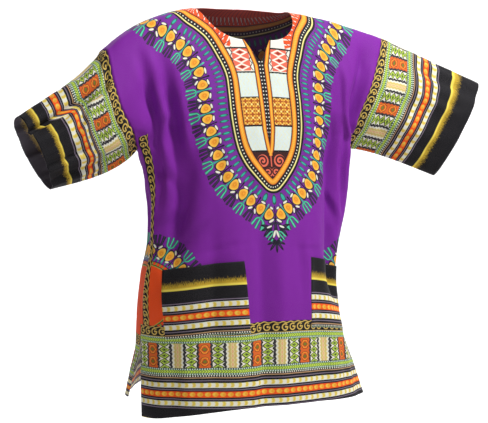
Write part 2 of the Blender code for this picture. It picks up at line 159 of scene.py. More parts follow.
# The large folds, as in the solids: troughs (plus depth) and ridges (minus depth). First is across
# a panel or round a sleeve, second down a panel or along a sleeve.
FOLD_COLUMNS = (
    "first_start", "second_start", "first_end", "second_end", "width_start", "width_end", "depth",
    "lean",
)
FRONT_FOLDS = (
    (-0.236, 0.085, -0.262, 0.400, 0.016, 0.020, 0.016, 0.30),
    (-0.196, 0.105, -0.226, 0.560, 0.024, 0.026, 0.022, -0.25),
    (-0.270, 0.240, -0.286, 0.640, 0.015, 0.020, -0.008, 0.00),
    (-0.128, 0.380, -0.140, 0.800, 0.022, 0.020, 0.007, 0.20),
    (-0.082, 0.420, -0.084, 0.800, 0.020, 0.022, -0.003, 0.00),
    (-0.032, 0.400, -0.030, 0.860, 0.016, 0.022, 0.011, -0.40),
    (0.004, 0.420, 0.012, 0.860, 0.018, 0.024, -0.006, 0.00),
    (0.098, 0.460, 0.100, 0.860, 0.020, 0.026, 0.006, 0.00),
    (0.170, 0.190, 0.178, 0.640, 0.018, 0.024, 0.024, 0.45),
    (0.218, 0.060, 0.232, 0.500, 0.022, 0.026, -0.010, 0.00),
    (0.276, 0.030, 0.262, 0.250, 0.020, 0.018, 0.016, -0.20),
    (0.272, 0.260, 0.262, 0.560, 0.016, 0.018, 0.012, 0.20),
    (0.215, 0.560, 0.226, 0.860, 0.020, 0.030, 0.007, 0.00),
    (-0.215, 0.600, -0.222, 0.860, 0.020, 0.026, 0.006, 0.00),
)
BACK_FOLDS = (
    (-0.240, 0.090, -0.255, 0.520, 0.020, 0.024, 0.020, 0.30),
    (0.236, 0.080, 0.250, 0.500, 0.020, 0.024, 0.020, -0.30),
    (-0.172, 0.200, -0.190, 0.700, 0.022, 0.026, 0.016, -0.20),
    (0.165, 0.220, 0.180, 0.720, 0.022, 0.026, 0.017, 0.25),
    (-0.098, 0.260, -0.105, 0.860, 0.022, 0.026, 0.010, 0.20),
    (0.092, 0.300, 0.100, 0.860, 0.022, 0.028, 0.009, -0.20),
    (-0.020, 0.340, -0.012, 0.860, 0.020, 0.026, 0.008, 0.30),
    (0.045, 0.360, 0.050, 0.860, 0.020, 0.024, -0.006, 0.00),
    (-0.215, 0.520, -0.235, 0.860, 0.022, 0.028, 0.008, 0.00),
    (0.220, 0.520, 0.240, 0.860, 0.022, 0.028, 0.008, 0.00),
)
CUFF_COLUMNS = (
    "top_out", "top_height", "under_out", "under_height", "depth", "half_depth", "turn",
    "top_sag", "under_sag",
)
RIGHT_CUFF = (0.465, -0.211, 0.401, -0.343, -0.010, 0.070, 0.105, 0.014, 0.018)
LEFT_CUFF = (0.538, -0.127, 0.427, -0.323, -0.070, 0.042, -0.190, 0.000, -0.010)
CUFF_TEARDROP = 0.22
SAG_POWER = 0.65
RIGHT_SLEEVE_FOLDS = (
    (0.050, 0.020, 0.082, 0.300, 0.012, 0.017, 0.017),
    (0.012, 0.060, 0.040, 0.300, 0.018, 0.022, -0.005),
    (0.150, 0.030, 0.165, 0.200, 0.022, 0.022, 0.007),
    (0.222, 0.010, 0.196, 0.250, 0.018, 0.024, 0.009),
    (-0.075, 0.020, -0.095, 0.300, 0.018, 0.022, 0.012),
    (-0.165, 0.010, -0.180, 0.250, 0.020, 0.024, 0.009),
)
LEFT_SLEEVE_FOLDS = (
    (0.040, 0.050, 0.066, 0.300, 0.012, 0.016, 0.009),
    (0.120, 0.040, 0.140, 0.240, 0.024, 0.026, 0.006),
    (0.215, 0.010, 0.190, 0.250, 0.018, 0.024, 0.008),
    (-0.060, 0.020, -0.080, 0.300, 0.018, 0.022, 0.011),
    (-0.150, 0.010, -0.170, 0.260, 0.022, 0.024, 0.009),
)
SECTION_SAMPLES = 361
SECTION_SPACING = 0.004
FOLD_FADE = (0.30, 0.72)
FOLD_SHARPNESS = 1.8

# Smaller creases: a line from start to end that bows sideways, with a ridge beside it.
# Columns: first and second of the start, first and second of the end, bow, width, depth.
CREASE_FADE = (0.35, 0.60)
RIDGE_HEIGHT = 0.55
RIDGE_PLACE = 1.7
CALM_EDGE = 0.012
PANEL_CALM_FROM = 0.93
SLEEVE_CALM_FROM = 0.94
SLEEVE_FOLDS_FROM = 0.12
SLEEVE_EVEN_FROM = 0.35
FRONT_CREASES = (
    (-0.300, 0.250, -0.190, 0.400, 0.010, 0.012, 0.0026),
    (-0.296, 0.292, -0.215, 0.352, 0.008, 0.009, 0.0020),
    (-0.290, 0.205, -0.175, 0.262, 0.012, 0.013, 0.0018),
    (-0.285, 0.420, -0.160, 0.372, -0.014, 0.014, 0.0020),
    (-0.250, 0.470, -0.120, 0.420, -0.010, 0.010, 0.0026),
    (-0.258, 0.040, -0.240, 0.270, 0.004, 0.010, 0.0070),
    (-0.214, 0.060, -0.192, 0.330, 0.004, 0.012, 0.0080),
    (-0.226, 0.460, -0.170, 0.250, -0.010, 0.022, 0.0060),
    (0.206, 0.190, 0.216, 0.440, 0.004, 0.010, 0.0080),
    (-0.165, 0.150, -0.150, 0.330, -0.004, 0.009, 0.0024),
    (-0.120, 0.250, -0.105, 0.420, 0.004, 0.010, 0.0020),
    (-0.170, 0.492, -0.040, 0.486, 0.004, 0.006, 0.0010),
    (0.020, 0.498, 0.180, 0.490, -0.003, 0.006, 0.0010),
    (-0.060, 0.300, -0.048, 0.470, 0.004, 0.010, 0.0016),
    (0.048, 0.440, 0.060, 0.660, 0.004, 0.011, 0.0026),
    (0.060, 0.190, 0.075, 0.360, 0.003, 0.010, 0.0018),
    (0.150, 0.360, 0.205, 0.440, 0.006, 0.010, 0.0036),
    (0.205, 0.250, 0.290, 0.300, 0.008, 0.010, 0.0040),
    (0.190, 0.100, 0.200, 0.240, 0.003, 0.009, 0.0030),
    (0.250, 0.110, 0.228, 0.235, 0.004, 0.009, 0.0036),
    (0.110, 0.640, 0.122, 0.800, 0.003, 0.012, 0.0030),
    (-0.180, 0.660, -0.176, 0.800, 0.003, 0.012, 0.0026),
    (-0.060, 0.660, -0.066, 0.800, -0.003, 0.012, 0.0026),
    (0.165, 0.655, 0.180, 0.800, 0.002, 0.011, 0.0030),
)
BACK_CREASES = (
    (-0.296, 0.250, -0.180, 0.390, 0.010, 0.010, 0.0040),
    (0.296, 0.240, 0.185, 0.380, -0.010, 0.010, 0.0040),
    (-0.286, 0.200, -0.150, 0.250, 0.010, 0.011, 0.0040),
    (0.286, 0.205, 0.160, 0.262, -0.010, 0.011, 0.0038),
    (-0.230, 0.420, -0.060, 0.470, 0.012, 0.012, 0.0034),
    (0.240, 0.410, 0.070, 0.458, -0.012, 0.012, 0.0034),
    (-0.070, 0.130, -0.062, 0.300, 0.004, 0.012, 0.0022),
    (0.058, 0.150, 0.070, 0.330, 0.004, 0.012, 0.0020),
    (-0.140, 0.520, -0.150, 0.760, 0.004, 0.012, 0.0030),
    (0.135, 0.540, 0.148, 0.780, 0.004, 0.012, 0.0030),
    (0.000, 0.500, 0.006, 0.790, 0.004, 0.013, 0.0028),
)
RIGHT_SLEEVE_CREASES = (
    (-0.020, 0.012, 0.060, 0.046, 0.006, 0.007, 0.0034),
    (0.012, 0.004, 0.100, 0.036, 0.006, 0.008, 0.0038),
    (0.120, 0.010, 0.190, 0.050, 0.008, 0.008, 0.0036),
    (0.090, 0.120, 0.108, 0.230, 0.004, 0.009, 0.0034),
    (0.120, 0.150, 0.135, 0.240, 0.003, 0.008, 0.0028),
    (0.030, 0.150, 0.044, 0.235, 0.003, 0.007, 0.0026),
    (0.076, -0.020, 0.078, 0.150, 0.002, 0.005, 0.0080),
    (0.058, 0.070, 0.084, 0.320, 0.003, 0.006, 0.0100),
    (0.066, 0.060, 0.150, 0.170, 0.010, 0.008, 0.0060),
    (0.000, 0.070, 0.014, 0.300, 0.003, 0.006, 0.0050),
    (0.180, 0.060, 0.164, 0.300, 0.003, 0.007, 0.0060),
    (0.226, 0.050, 0.210, 0.300, 0.003, 0.007, 0.0060),
    (-0.078, 0.060, -0.086, 0.320, 0.003, 0.006, 0.0080),
    (-0.162, 0.060, -0.150, 0.320, 0.003, 0.006, 0.0080),
    (-0.222, 0.050, -0.206, 0.300, 0.003, 0.007, 0.0060),
    (-0.040, 0.060, -0.050, 0.220, 0.004, 0.009, 0.0030),
    (-0.120, 0.030, -0.135, 0.180, 0.005, 0.010, 0.0034),
    (-0.210, 0.020, -0.160, 0.090, 0.006, 0.009, 0.0032),
)
LEFT_SLEEVE_CREASES = (
    (0.020, 0.010, 0.100, 0.060, 0.006, 0.009, 0.0030),
    (0.105, 0.008, 0.170, 0.070, 0.006, 0.009, 0.0034),
    (0.150, 0.030, 0.220, 0.090, 0.006, 0.009, 0.0030),
    (0.012, 0.080, 0.022, 0.235, 0.003, 0.008, 0.0026),
    (0.086, 0.100, 0.100, 0.240, 0.004, 0.010, 0.0030),
    (0.030, 0.205, 0.052, 0.240, 0.002, 0.005, 0.0024),
    (-0.100, 0.050, -0.112, 0.220, 0.004, 0.010, 0.0032),
    (-0.190, 0.020, -0.150, 0.100, 0.006, 0.009, 0.0032),
)

# The waviness of washed cotton: height, size across and down, and slant, from broad to fine
WAVINESS = (
    (0.0011, (0.034, 0.090), (0.3, 0.0)),
    (0.0006, (0.017, 0.040), (-0.4, 0.0)),
    (0.00022, (0.009, 0.014), (0.0, 0.5)),
)
FRONT_SEED = 11
BACK_SEED = 29
RIGHT_SLEEVE_SEED = 41
LEFT_SLEEVE_SEED = 53
NOISE_CELLS = 64

# Lines of the neck print in the front's cloth coordinates, one side, shoulder to middle
FRONT_SHIELD = (
    (0.158, -0.030), (0.156, 0.000), (0.153, 0.022), (0.143, 0.043), (0.126, 0.061), (0.112, 0.078),
    (0.103, 0.095), (0.093, 0.118), (0.084, 0.140), (0.0785, 0.163), (0.078, 0.195), (0.078, 0.228),
    (0.075, 0.268), (0.068, 0.303), (0.057, 0.328), (0.043, 0.349), (0.026, 0.369), (0.009, 0.384),
)
FRONT_GARLAND = (
    (0.226, -0.020), (0.216, 0.012), (0.206, 0.033), (0.190, 0.054), (0.172, 0.076), (0.155, 0.100),
    (0.144, 0.125), (0.135, 0.150), (0.1325, 0.175), (0.1315, 0.200), (0.131, 0.223), (0.1275, 0.247),
    (0.122, 0.270), (0.117, 0.292), (0.1125, 0.312), (0.106, 0.333), (0.095, 0.353), (0.081, 0.372),
    (0.062, 0.392), (0.039, 0.412), (0.014, 0.431),
)
BACK_SHIELD = (
    (0.158, -0.030), (0.156, 0.000), (0.152, 0.024), (0.141, 0.048), (0.121, 0.069), (0.092, 0.086),
    (0.058, 0.098), (0.020, 0.103),
)
BACK_GARLAND = (
    (0.226, -0.020), (0.216, 0.012), (0.205, 0.036), (0.188, 0.066), (0.163, 0.094), (0.130, 0.119),
    (0.090, 0.138), (0.045, 0.149), (0.012, 0.152),
)

# Where the print lies on each piece, and how far it slips over bunched cloth
BORDER_ON_BODY = 0.637
BORDER_ON_POCKET = 0.229
BODY_PRINT_SHIFT = 0.060
SLEEVE_PRINT_SHIFT = -0.026
POCKET_PRINT_SHIFT = 0.004
POCKET_PRINT_STRETCH = 0.957
RIGHT_PRINT_RISE = 0.024
LEFT_PRINT_RISE = 0.008
SLEEVE_SLIP = 0.024
LOWER_SLIP = 0.017
FOLD_SLIP = 0.012
GATHER_SLIP = 0.008

# The border print, measured from its scalloped edge
BORDER_END = 0.240
BORDER_REPEAT = 0.108
BLOCK_START = 0.012
SCROLL_PITCH = 0.018
SCROLL_MIDDLE = 0.0116
SCROLL_END = 0.0205
BLOCKS_MIDDLE = 0.0590
LOZENGE_HALF_HEIGHT = 0.0059
ORANGE_BAND_MIDDLE = 0.1345
CHECK_PITCH = 0.0150
BORDER_STRIPES = (
    (0.0000, "black"), (SCROLL_END, "gold"), (0.0222, "leaf_green"), (0.0340, "navy"), (0.0835, "leaf_green"),
    (0.0960, "black"), (0.1010, "tan"), (0.1030, "black"), (0.1062, "grey"), (0.1080, "black"),
    (0.1120, "white"), (0.1210, "black"), (0.1240, "grey"), (0.1258, "black"), (0.1290, "orange_red"),
    (0.1400, "black"), (0.1432, "grey"), (0.1450, "black"), (0.1480, "white"), (0.1570, "black"),
    (0.1602, "grey"), (0.1620, "black"),
)

# The prints on the body
SIDE_MEDALLION = (0.288, 0.570)
MEDALLION_GARLAND = 0.104
MEDALLION_PITCH = 0.0130
SIDE_SCROLL = 0.271
SIDE_SCROLL_TOP = 0.228
GARLAND_PITCH = 0.047
STROKE_PITCH = 0.0105
DIAMONDS = (0.1080, 0.1512)
UPPER_TILES = (0.1545, 0.2020)
FLOWERS = (0.2055, 0.2585)
LOWER_TILES = (0.2620, 0.3080)
PLACKET_TIP = 0.3115
PLACKET_END = 0.420
PLACKET_STRIPES = (
    (0.0000, "white"), (0.1050, "black"), (DIAMONDS[0], "white"), (DIAMONDS[1], "black"),
    (UPPER_TILES[0], "tile_white"), (UPPER_TILES[1], "black"), (FLOWERS[0], "rust"),
    (FLOWERS[1], "black"), (LOWER_TILES[0], "tile_white"), (LOWER_TILES[1], "black"),
    (PLACKET_TIP, "dark_brown"),
)

# Dyes of the print, in display values
DYES = {
    "purple": (0.510, 0.105, 0.630),
    "deep_purple": (0.400, 0.100, 0.520),
    "violet": (0.380, 0.190, 0.560),
    "black": (0.048, 0.042, 0.058),
    "navy": (0.085, 0.065, 0.150),
    "slate": (0.420, 0.360, 0.500),
    "rust": (0.680, 0.310, 0.050),
    "lime": (0.780, 0.880, 0.300),
    "fired_orange": (0.880, 0.400, 0.130),
    "olive": (0.480, 0.480, 0.130),
    "bead_blue": (0.860, 0.930, 0.900),
    "cream": (0.930, 0.880, 0.640),
    "sand": (0.850, 0.740, 0.400),
    "feather_gold": (0.780, 0.640, 0.160),
    "dark_brown": (0.220, 0.070, 0.060),
    "burnt_orange": (0.800, 0.360, 0.060),
    "amber": (0.990, 0.780, 0.300),
    "tile_white": (0.850, 0.890, 0.870),
    "white": (0.930, 0.920, 0.860),
    "grey": (0.480, 0.430, 0.500),
    "tan": (0.760, 0.600, 0.430),
    "gold": (0.860, 0.730, 0.360),
    "yellow": (0.950, 0.860, 0.340),
    "pale_yellow": (0.930, 0.890, 0.560),
    "orange": (0.960, 0.640, 0.160),
    "orange_red": (0.900, 0.380, 0.110),
    "vermilion": (0.980, 0.320, 0.070),
    "brick": (0.620, 0.170, 0.100),
    "coral": (0.900, 0.420, 0.320),
    "leaf_green": (0.560, 0.720, 0.300),
    "dark_green": (0.090, 0.330, 0.230),
    "teal": (0.180, 0.680, 0.600),
    "mint": (0.330, 0.800, 0.640),
}
EDGE_SOFTNESS = 0.0006
THREAD_COLOUR = (0.60, 0.57, 0.62, 1.0)
WRONG_SIDE_COLOUR = (0.30, 0.26, 0.32, 1.0)
WRONG_SIDE_SHARE = 0.30
COTTON = {"Specular IOR Level": 0.12, "Sheen Weight": 0.015, "Sheen Roughness": 0.45}

# Socket numbers of a Mix node that mixes colours
MIX_FACTOR = 0
MIX_LOWER = 6
MIX_UPPER = 7
MIX_COLOUR = 2

# The camera, and the places in the photograph that set it
CAMERA_TURN = -28.0
CAMERA_DISTANCE = 2.8
CAMERA_HEIGHT = -0.27
FOCAL_PIXELS = 1400.0
PICTURE_WIDTH = 488
PICTURE_HEIGHT = 423
AXIS_PIXEL = 238.0
HORIZON_PIXEL = 150.0
SENSOR = 36.0

# The paper: its floor, its bend and its wall behind the shirt, and where it glows
FLOOR = -1.15
PAPER_HALF_WIDTH = 7.0
PAPER_NEAR = 6.0
PAPER_REACH = 2.4
PAPER_BEND = 1.2
PAPER_HEIGHT = 5.0
FLOOR_SHARE = 0.4
BEND_SHARE = 0.7
GLOW_BEHIND = (1.3, 1.4)
PAPER = {"Base Color": (0.93, 0.93, 0.93, 1.0), "Roughness": 0.9, "Emission Strength": 0.55}

# The lamps: name, azimuth and elevation in degrees, distance, size and power
LAMPS = (
    ("key_light", 30.0, 54.0, 2.6, 0.5, 70.0),
    ("fill_light", -80.0, 14.0, 3.0, 2.2, 2.0),
    ("side_light", 70.0, 20.0, 3.2, 1.8, 3.0),
    ("back_light", 165.0, 40.0, 3.0, 1.8, 16.0),
)
LIT_POINT = (0.0, 0.0, -0.35)
AIR_LIGHT = 0.20


def smooth_step(start, end, value):
    share = np.clip((value - start) / (end - start), 0.0, 1.0)
    return share * share * (3.0 - 2.0 * share)


def curve_between(share, start, leave, end, arrive):
    """A smooth curve from start to end over a share of 0 to 1, with its slopes at both ends."""
    return (
        start * (1.0 + 2.0 * share) * (1.0 - share) ** 2
        + leave * share * (1.0 - share) ** 2
        + end * share**2 * (3.0 - 2.0 * share)
        + arrive * share**2 * (share - 1.0)
    )


def knot_slopes(knots, value):
    """Slopes at the knots of a smooth curve that never swings past the values it passes."""
    steps = np.diff(value) / np.diff(knots)
    before, after = steps[:-1], steps[1:]
    total = np.where(before * after > 0.0, before + after, 1.0)
    inner = np.where(before * after > 0.0, 2.0 * before * after / total, 0.0)
    return np.concatenate([steps[:1], inner, steps[-1:]])


def table_curves(names, rows, at):
    """The named columns of a table at the given values of its first column, as smooth curves."""
    table = np.array(rows)
    knots = table[:, 0]
    at = np.asarray(at, float)
    index = np.clip(np.searchsorted(knots, at, side="right") - 1, 0, len(knots) - 2)
    gap = knots[index + 1] - knots[index]
    share = np.clip((at - knots[index]) / gap, 0.0, 1.0)
    found = {}
    for column, name in enumerate(names[1:], start=1):
        value = table[:, column]
        slope = knot_slopes(knots, value)
        leave, arrive = slope[index] * gap, slope[index + 1] * gap
        found[name] = curve_between(share, value[index], leave, value[index + 1], arrive)
    return found


def cut_half_width(down):
    armhole = SHOULDER_HALF + (CHEST_HALF - SHOULDER_HALF) * smooth_step(0.0, ARMHOLE_DEPTH, down)
    flare = (HEM_HALF - CHEST_HALF) * np.clip((down - VENT_TOP) / (BODY_LENGTH - VENT_TOP), 0.0, 1.0)
    return armhole + flare


def fold_relief(folds, first, second):
    """How far the cloth is pushed inwards by the large folds, which run along second."""
    relief = np.zeros(np.broadcast(first, second).shape)
    for row in folds:
        fold = dict(zip(FOLD_COLUMNS, row))
        share = (second - fold["second_start"]) / (fold["second_end"] - fold["second_start"])
        inside = np.clip(share, 0.0, 1.0)
        middle = fold["first_start"] + (fold["first_end"] - fold["first_start"]) * inside
        width = fold["width_start"] + (fold["width_end"] - fold["width_start"]) * inside
        offset = (first - middle) / width
        offset = offset * (1.0 + fold.get("lean", 0.0) * np.tanh(offset))
        fade = smooth_step(0.0, FOLD_FADE[0], share) * (1.0 - smooth_step(FOLD_FADE[1], 1.0, share))
        relief = relief + fold["depth"] * fade * np.exp(-(np.abs(offset) ** FOLD_SHARPNESS))
    return relief


def crease_relief(creases, first, second):
    """How far the small creases push the cloth inwards, with a soft ridge beside each."""
    relief = np.zeros(np.broadcast(first, second).shape)
    for start_first, start_second, end_first, end_second, bow, width, depth in creases:
        run_first, run_second = end_first - start_first, end_second - start_second
        length = math.hypot(run_first, run_second)
        along = ((first - start_first) * run_first + (second - start_second) * run_second) / length**2
        side = ((first - start_first) * run_second - (second - start_second) * run_first) / length
        side = side - bow * np.sin(math.pi * np.clip(along, 0.0, 1.0))
        fade = smooth_step(0.0, CREASE_FADE[0], along) * (1.0 - smooth_step(CREASE_FADE[1], 1.0, along))
        trough = np.exp(-((side / width) ** 2))
        ridge = RIDGE_HEIGHT * np.exp(-(((side - RIDGE_PLACE * width) / width) ** 2))
        relief = relief + depth * fade * (trough - ridge)
    return relief


def lattice_noise(first, second, size, seed):
    """Smooth unevenness of about one size, between -1 and 1."""
    values = np.random.default_rng(seed).uniform(-1.0, 1.0, (NOISE_CELLS, NOISE_CELLS))
    x, y = first / size[0] + 31.0, second / size[1] + 17.0
    column, row = np.floor(x).astype(int), np.floor(y).astype(int)
    right, lower = smooth_step(0.0, 1.0, x - column), smooth_step(0.0, 1.0, y - row)
    found = 0.0
    for step_y, share_y in ((0, 1.0 - lower), (1, lower)):
        for step_x, share_x in ((0, 1.0 - right), (1, right)):
            corner = values[(row + step_y) % NOISE_CELLS, (column + step_x) % NOISE_CELLS]
            found = found + corner * share_x * share_y
    return found


def unevenness(first, second, seed):
    """The slight waviness that all washed cotton has, longer down the cloth than across it."""
    found = 0.0
    for step, (height, size, slant) in enumerate(WAVINESS):
        slanted = (first + slant[0] * second, second + slant[1] * first)
        found = found + height * lattice_noise(*slanted, size, seed + step)
    return found


def calm_near(edge, start):
    """How much of the small creases is left, from none at a seam or a top edge to all."""
    return smooth_step(0.0, CALM_EDGE, edge) * smooth_step(0.0, CALM_EDGE, start)


def lengths_along(points):
    steps = np.linalg.norm(np.diff(points, axis=1), axis=2)
    return np.concatenate([np.zeros((len(points), 1)), np.cumsum(steps, axis=1)], axis=1)


def flat_shares(points, width):
    """Where each point of a section lies on the flat cut, as a share of its half width."""
    run = lengths_along(points)
    centre = points.shape[1] // 2
    run = run - run[:, [centre]]
    length = np.where(run >= 0.0, run[:, [-1]], -run[:, [0]])
    return run / width * (1.0 + (width / length - 1.0) * (run / length) ** 2)


def outward_normals(points, facing):
    along = np.gradient(points, axis=1)
    normal = np.stack([along[..., 1], -along[..., 0], np.zeros(along.shape[:2])], axis=2) * facing
    return normal / np.maximum(np.linalg.norm(normal, axis=2, keepdims=True), 1e-9)


def grid_normals(points, facing):
    normal = np.cross(np.gradient(points, axis=1), np.gradient(points, axis=0)) * facing
    return normal / np.maximum(np.linalg.norm(normal, axis=2, keepdims=True), 1e-12)


class BodyPanel:
    """The worn form of the front or the back: sections from side line to side line."""

    def __init__(self, line, folds, facing):
        self.downs = np.arange(0.0, BODY_LENGTH + SECTION_SPACING, SECTION_SPACING)
        seam = {k: v[:, None] for k, v in table_curves(SEAM_COLUMNS, SEAM, self.downs).items()}
        middle = {k: v[:, None] for k, v in table_curves(LINE_COLUMNS, line, self.downs).items()}
        angle = np.linspace(-0.5 * math.pi, 0.5 * math.pi, SECTION_SAMPLES)[None, :]
        side = 0.5 + 0.5 * np.sin(angle)
        half = seam["right"] + (seam["left"] - seam["right"]) * smooth_step(0.0, 1.0, side)
        edge_height = seam["right_height"] + (seam["left_height"] - seam["right_height"]) * side
        edge_height = edge_height + middle["edge_rise"]
        edge_depth = seam["depth"] + facing * middle["edge_depth"]
        closed = smooth_step(ARMHOLE_SHAPE_START, ARMHOLE_SHAPE_END, self.downs)[:, None]
        across_closed = np.sign(angle) * np.abs(np.sin(angle)) ** SQUARENESS
        across_open = np.sin(angle)
        across = across_open + (across_closed - across_open) * closed
        bulge_closed = np.cos(angle) ** SQUARENESS
        bulge_open = np.cos(angle) ** 2
        bulge = bulge_open + (bulge_closed - bulge_open) * closed
        lowering = np.abs(across) ** FALL_POWER
        base = np.stack(
            [
                half * across + middle["shift"] * bulge,
                edge_depth + (middle["depth"] - edge_depth) * bulge,
                middle["height"] + (edge_height - middle["height"]) * lowering,
            ],
            axis=2,
        )
        width = cut_half_width(self.downs)[:, None]
        shares = flat_shares(base, width)
        relief = fold_relief(folds, shares * width, self.downs[:, None])
        relief = relief * (1.0 - smooth_step(PANEL_CALM_FROM, 1.0, np.abs(shares)))
        self.points = base - outward_normals(base, -facing) * relief[..., None]
        self.flat = flat_shares(self.points, width)

    def place(self, across, down):
        """The worn point of each flat point, across and down the cloth."""
        across, down = np.broadcast_arrays(np.asarray(across, float), np.asarray(down, float))
        share = (across / cut_half_width(down)).ravel()
        level = np.clip(down.ravel() / SECTION_SPACING, 0.0, len(self.downs) - 1.001)
        upper = level.astype(int)
        found = np.zeros((len(share), 3))
        for row in np.unique(upper):
            here = upper == row
            blend = level[here] - row
            for offset, weight in ((0, 1.0 - blend), (1, blend)):
                section = row + offset
                for axis in range(3):
                    found[here, axis] += weight * np.interp(
                        share[here], self.flat[section], self.points[section, :, axis]
                    )
        return found.reshape(across.shape + (3,))


class Sleeve:
    """The worn form of a sleeve: rings from the armhole of the two panels to the cuff."""

    def __init__(self, front, back, out, cuff, folds):
        self.front, self.back, self.out, self.folds = front, back, out, folds
        self.cuff = dict(zip(CUFF_COLUMNS, cuff))

    def armhole(self, turn):
        down = np.abs(turn) * ARMHOLE_DEPTH
        edge = self.out * cut_half_width(down)
        return np.where((turn >= 0.0)[:, None], self.front.place(edge, down), self.back.place(edge, down))

    def open_end(self, turn):
        cuff = self.cuff
        top = np.array([self.out * cuff["top_out"], cuff["depth"], cuff["top_height"]])
        under = np.array([self.out * cuff["under_out"], cuff["depth"], cuff["under_height"]])
        forward = np.array([self.out * math.sin(cuff["turn"]), -math.cos(cuff["turn"]), 0.0])
        angle = math.pi * turn
        rise = np.cos(angle)[:, None]
        reach = (np.sin(angle) * cuff["half_depth"] * (1.0 + CUFF_TEARDROP * np.cos(angle)))[:, None]
        return 0.5 * (top + under) + 0.5 * (top - under) * rise + forward * reach

    def rings(self, round_, alongs):
        """The worn points of a grid of flat points, ring by ring."""
        turns = np.linspace(-1.0, 1.0, 2 * SECTION_SAMPLES + 1)
        start, end = self.armhole(turns), self.open_end(turns)
        low = np.abs(turns) ** 2
        sag = self.cuff["top_sag"] * (1.0 - low) + self.cuff["under_sag"] * low
        top = len(turns) // 2
        rows = []
        for along in alongs:
            share = along / SLEEVE_LENGTH
            ring = start * (1.0 - share) + end * share
            ring[:, 2] -= sag * math.sin(math.pi * max(share, 0.0) ** SAG_POWER)
            centre = 0.5 * (ring[top] + ring[0])
            outward = ring - centre
            outward = outward / np.linalg.norm(outward, axis=1, keepdims=True)
            relief = fold_relief(self.folds, turns * ARMHOLE_DEPTH, np.full(len(turns), along))
            relief = relief * smooth_step(0.0, SLEEVE_FOLDS_FROM, share)
            relief = relief * (1.0 - smooth_step(SLEEVE_CALM_FROM, 1.0, np.abs(turns)))
            ring = ring - outward * relief[:, None]
            run = lengths_along(ring[None])[0]
            front_half = (run - run[top]) / (run[-1] - run[top])
            back_half = (run - run[top]) / run[top]
            even = np.where(turns >= 0.0, front_half, back_half)
            measured = turns + (even - turns) * smooth_step(0.0, SLEEVE_EVEN_FROM, share)
            wanted = np.asarray(round_) / ARMHOLE_DEPTH
            rows.append(np.stack([np.interp(wanted, measured, ring[:, axis]) for axis in range(3)], axis=1))
        return np.stack(rows)


def neckline(columns, neck_depth, slit_foot):
    """The flat points of half a neckline, from the shoulder seam to the middle."""
    slit = SLIT_COLUMNS if slit_foot > neck_depth else 0
    inner = SLIT_HALF if slit else 0.0
    angle = np.linspace(0.0, 0.5 * math.pi, columns - slit + 1)
    across = inner + (NECK_HALF - inner) * np.cos(angle) ** NECK_ROUNDNESS
    down = neck_depth * np.sin(angle) ** NECK_ROUNDNESS
    edge = list(zip(across, down))
    for step in range(1, slit + 1):
        share = step / slit
        edge.append((SLIT_HALF * (1.0 - share), neck_depth + (slit_foot - neck_depth) * share))
    return edge


def cut_grid(rows, neck_depth, slit_foot):
    """The flat cut of a panel as two grids, across and down, with the neck cut from the top."""
    neck_columns = NECK_COLUMNS + (SLIT_COLUMNS if slit_foot > neck_depth else 0)
    shoulder_columns = HALF_COLUMNS - neck_columns
    neck = neckline(neck_columns, neck_depth, slit_foot)
    seam = [
        (SHOULDER_HALF + (NECK_HALF - SHOULDER_HALF) * step / shoulder_columns, 0.0)
        for step in range(shoulder_columns)
    ]
    half = np.array(seam + neck)[::-1]
    top_across = np.concatenate([-half[:0:-1, 0], half[:, 0]])
    top_down = np.concatenate([half[:0:-1, 1], half[:, 1]])
    even = np.linspace(-1.0, 1.0, 2 * HALF_COLUMNS + 1)
    down = np.array(rows)[:, None]
    gather = smooth_step(0.0, EVEN_SPACING_FROM, down)
    neck_part = 1.0 - smooth_step(0.0, NECK_ROWS_END, down)
    downs = down + top_down[None, :] * neck_part
    share = top_across[None, :] / SHOULDER_HALF
    share = share + (even[None, :] - share) * gather
    return share * cut_half_width(downs), downs


def panel_surface(panel, creases, facing, seed, across, down):
    """Worn points of a panel with its small creases and unevenness, and their normals."""
    points = panel.place(across, down)
    normals = grid_normals(points, facing)
    calm = calm_near(cut_half_width(down) - np.abs(across), down)
    relief = (crease_relief(creases, across, down) + unevenness(across, down, seed)) * calm
    return points - normals * relief[..., None], normals


def bunched_print(out, first, second):
    """The print's own measures, round and along a sleeve, where the cloth is bunched."""
    share = second / SLEEVE_LENGTH
    if out > 0.0:
        swell = np.sin(math.pi * np.clip(share / 0.82, 0.0, 1.0))
        upper = smooth_step(-0.160, -0.040, first) * (1.0 - smooth_step(0.010, 0.130, first))
        gathered = smooth_step(-0.200, -0.060, first) * (1.0 - smooth_step(0.060, 0.160, first))
        return first - FOLD_SLIP - GATHER_SLIP * gathered, second + SLEEVE_SLIP * upper * swell
    fold = 0.056 + 0.030 * share
    beyond = smooth_step(fold - 0.009, fold + 0.007, first)
    upper = smooth_step(-0.160, -0.060, first) * (1.0 - beyond)
    lower = beyond * (1.0 - smooth_step(0.200, 0.250, first))
    slipped = LOWER_SLIP * lower * np.exp(-(((second - 0.122) / 0.034) ** 2))
    slipped = slipped - SLEEVE_SLIP * upper * smooth_step(0.05, 0.20, second)
    hidden = FOLD_SLIP * (2.0 * smooth_step(0.072, 0.088, first) - 1.0)
    hidden = hidden * smooth_step(-0.200, -0.020, first) * (1.0 - smooth_step(0.140, 0.256, first))
    return first + hidden, second + slipped


def sleeve_surface(sleeve, creases, seed, round_, alongs):
    points = sleeve.rings(round_, alongs)
    normals = grid_normals(points, sleeve.out)
    first, second = np.meshgrid(round_, alongs)
    calm = calm_near(ARMHOLE_DEPTH - np.abs(first), second)
    relief = (crease_relief(creases, first, second) + unevenness(first, second, seed)) * calm
    return (points - normals * relief[..., None],) + bunched_print(sleeve.out, first, second)


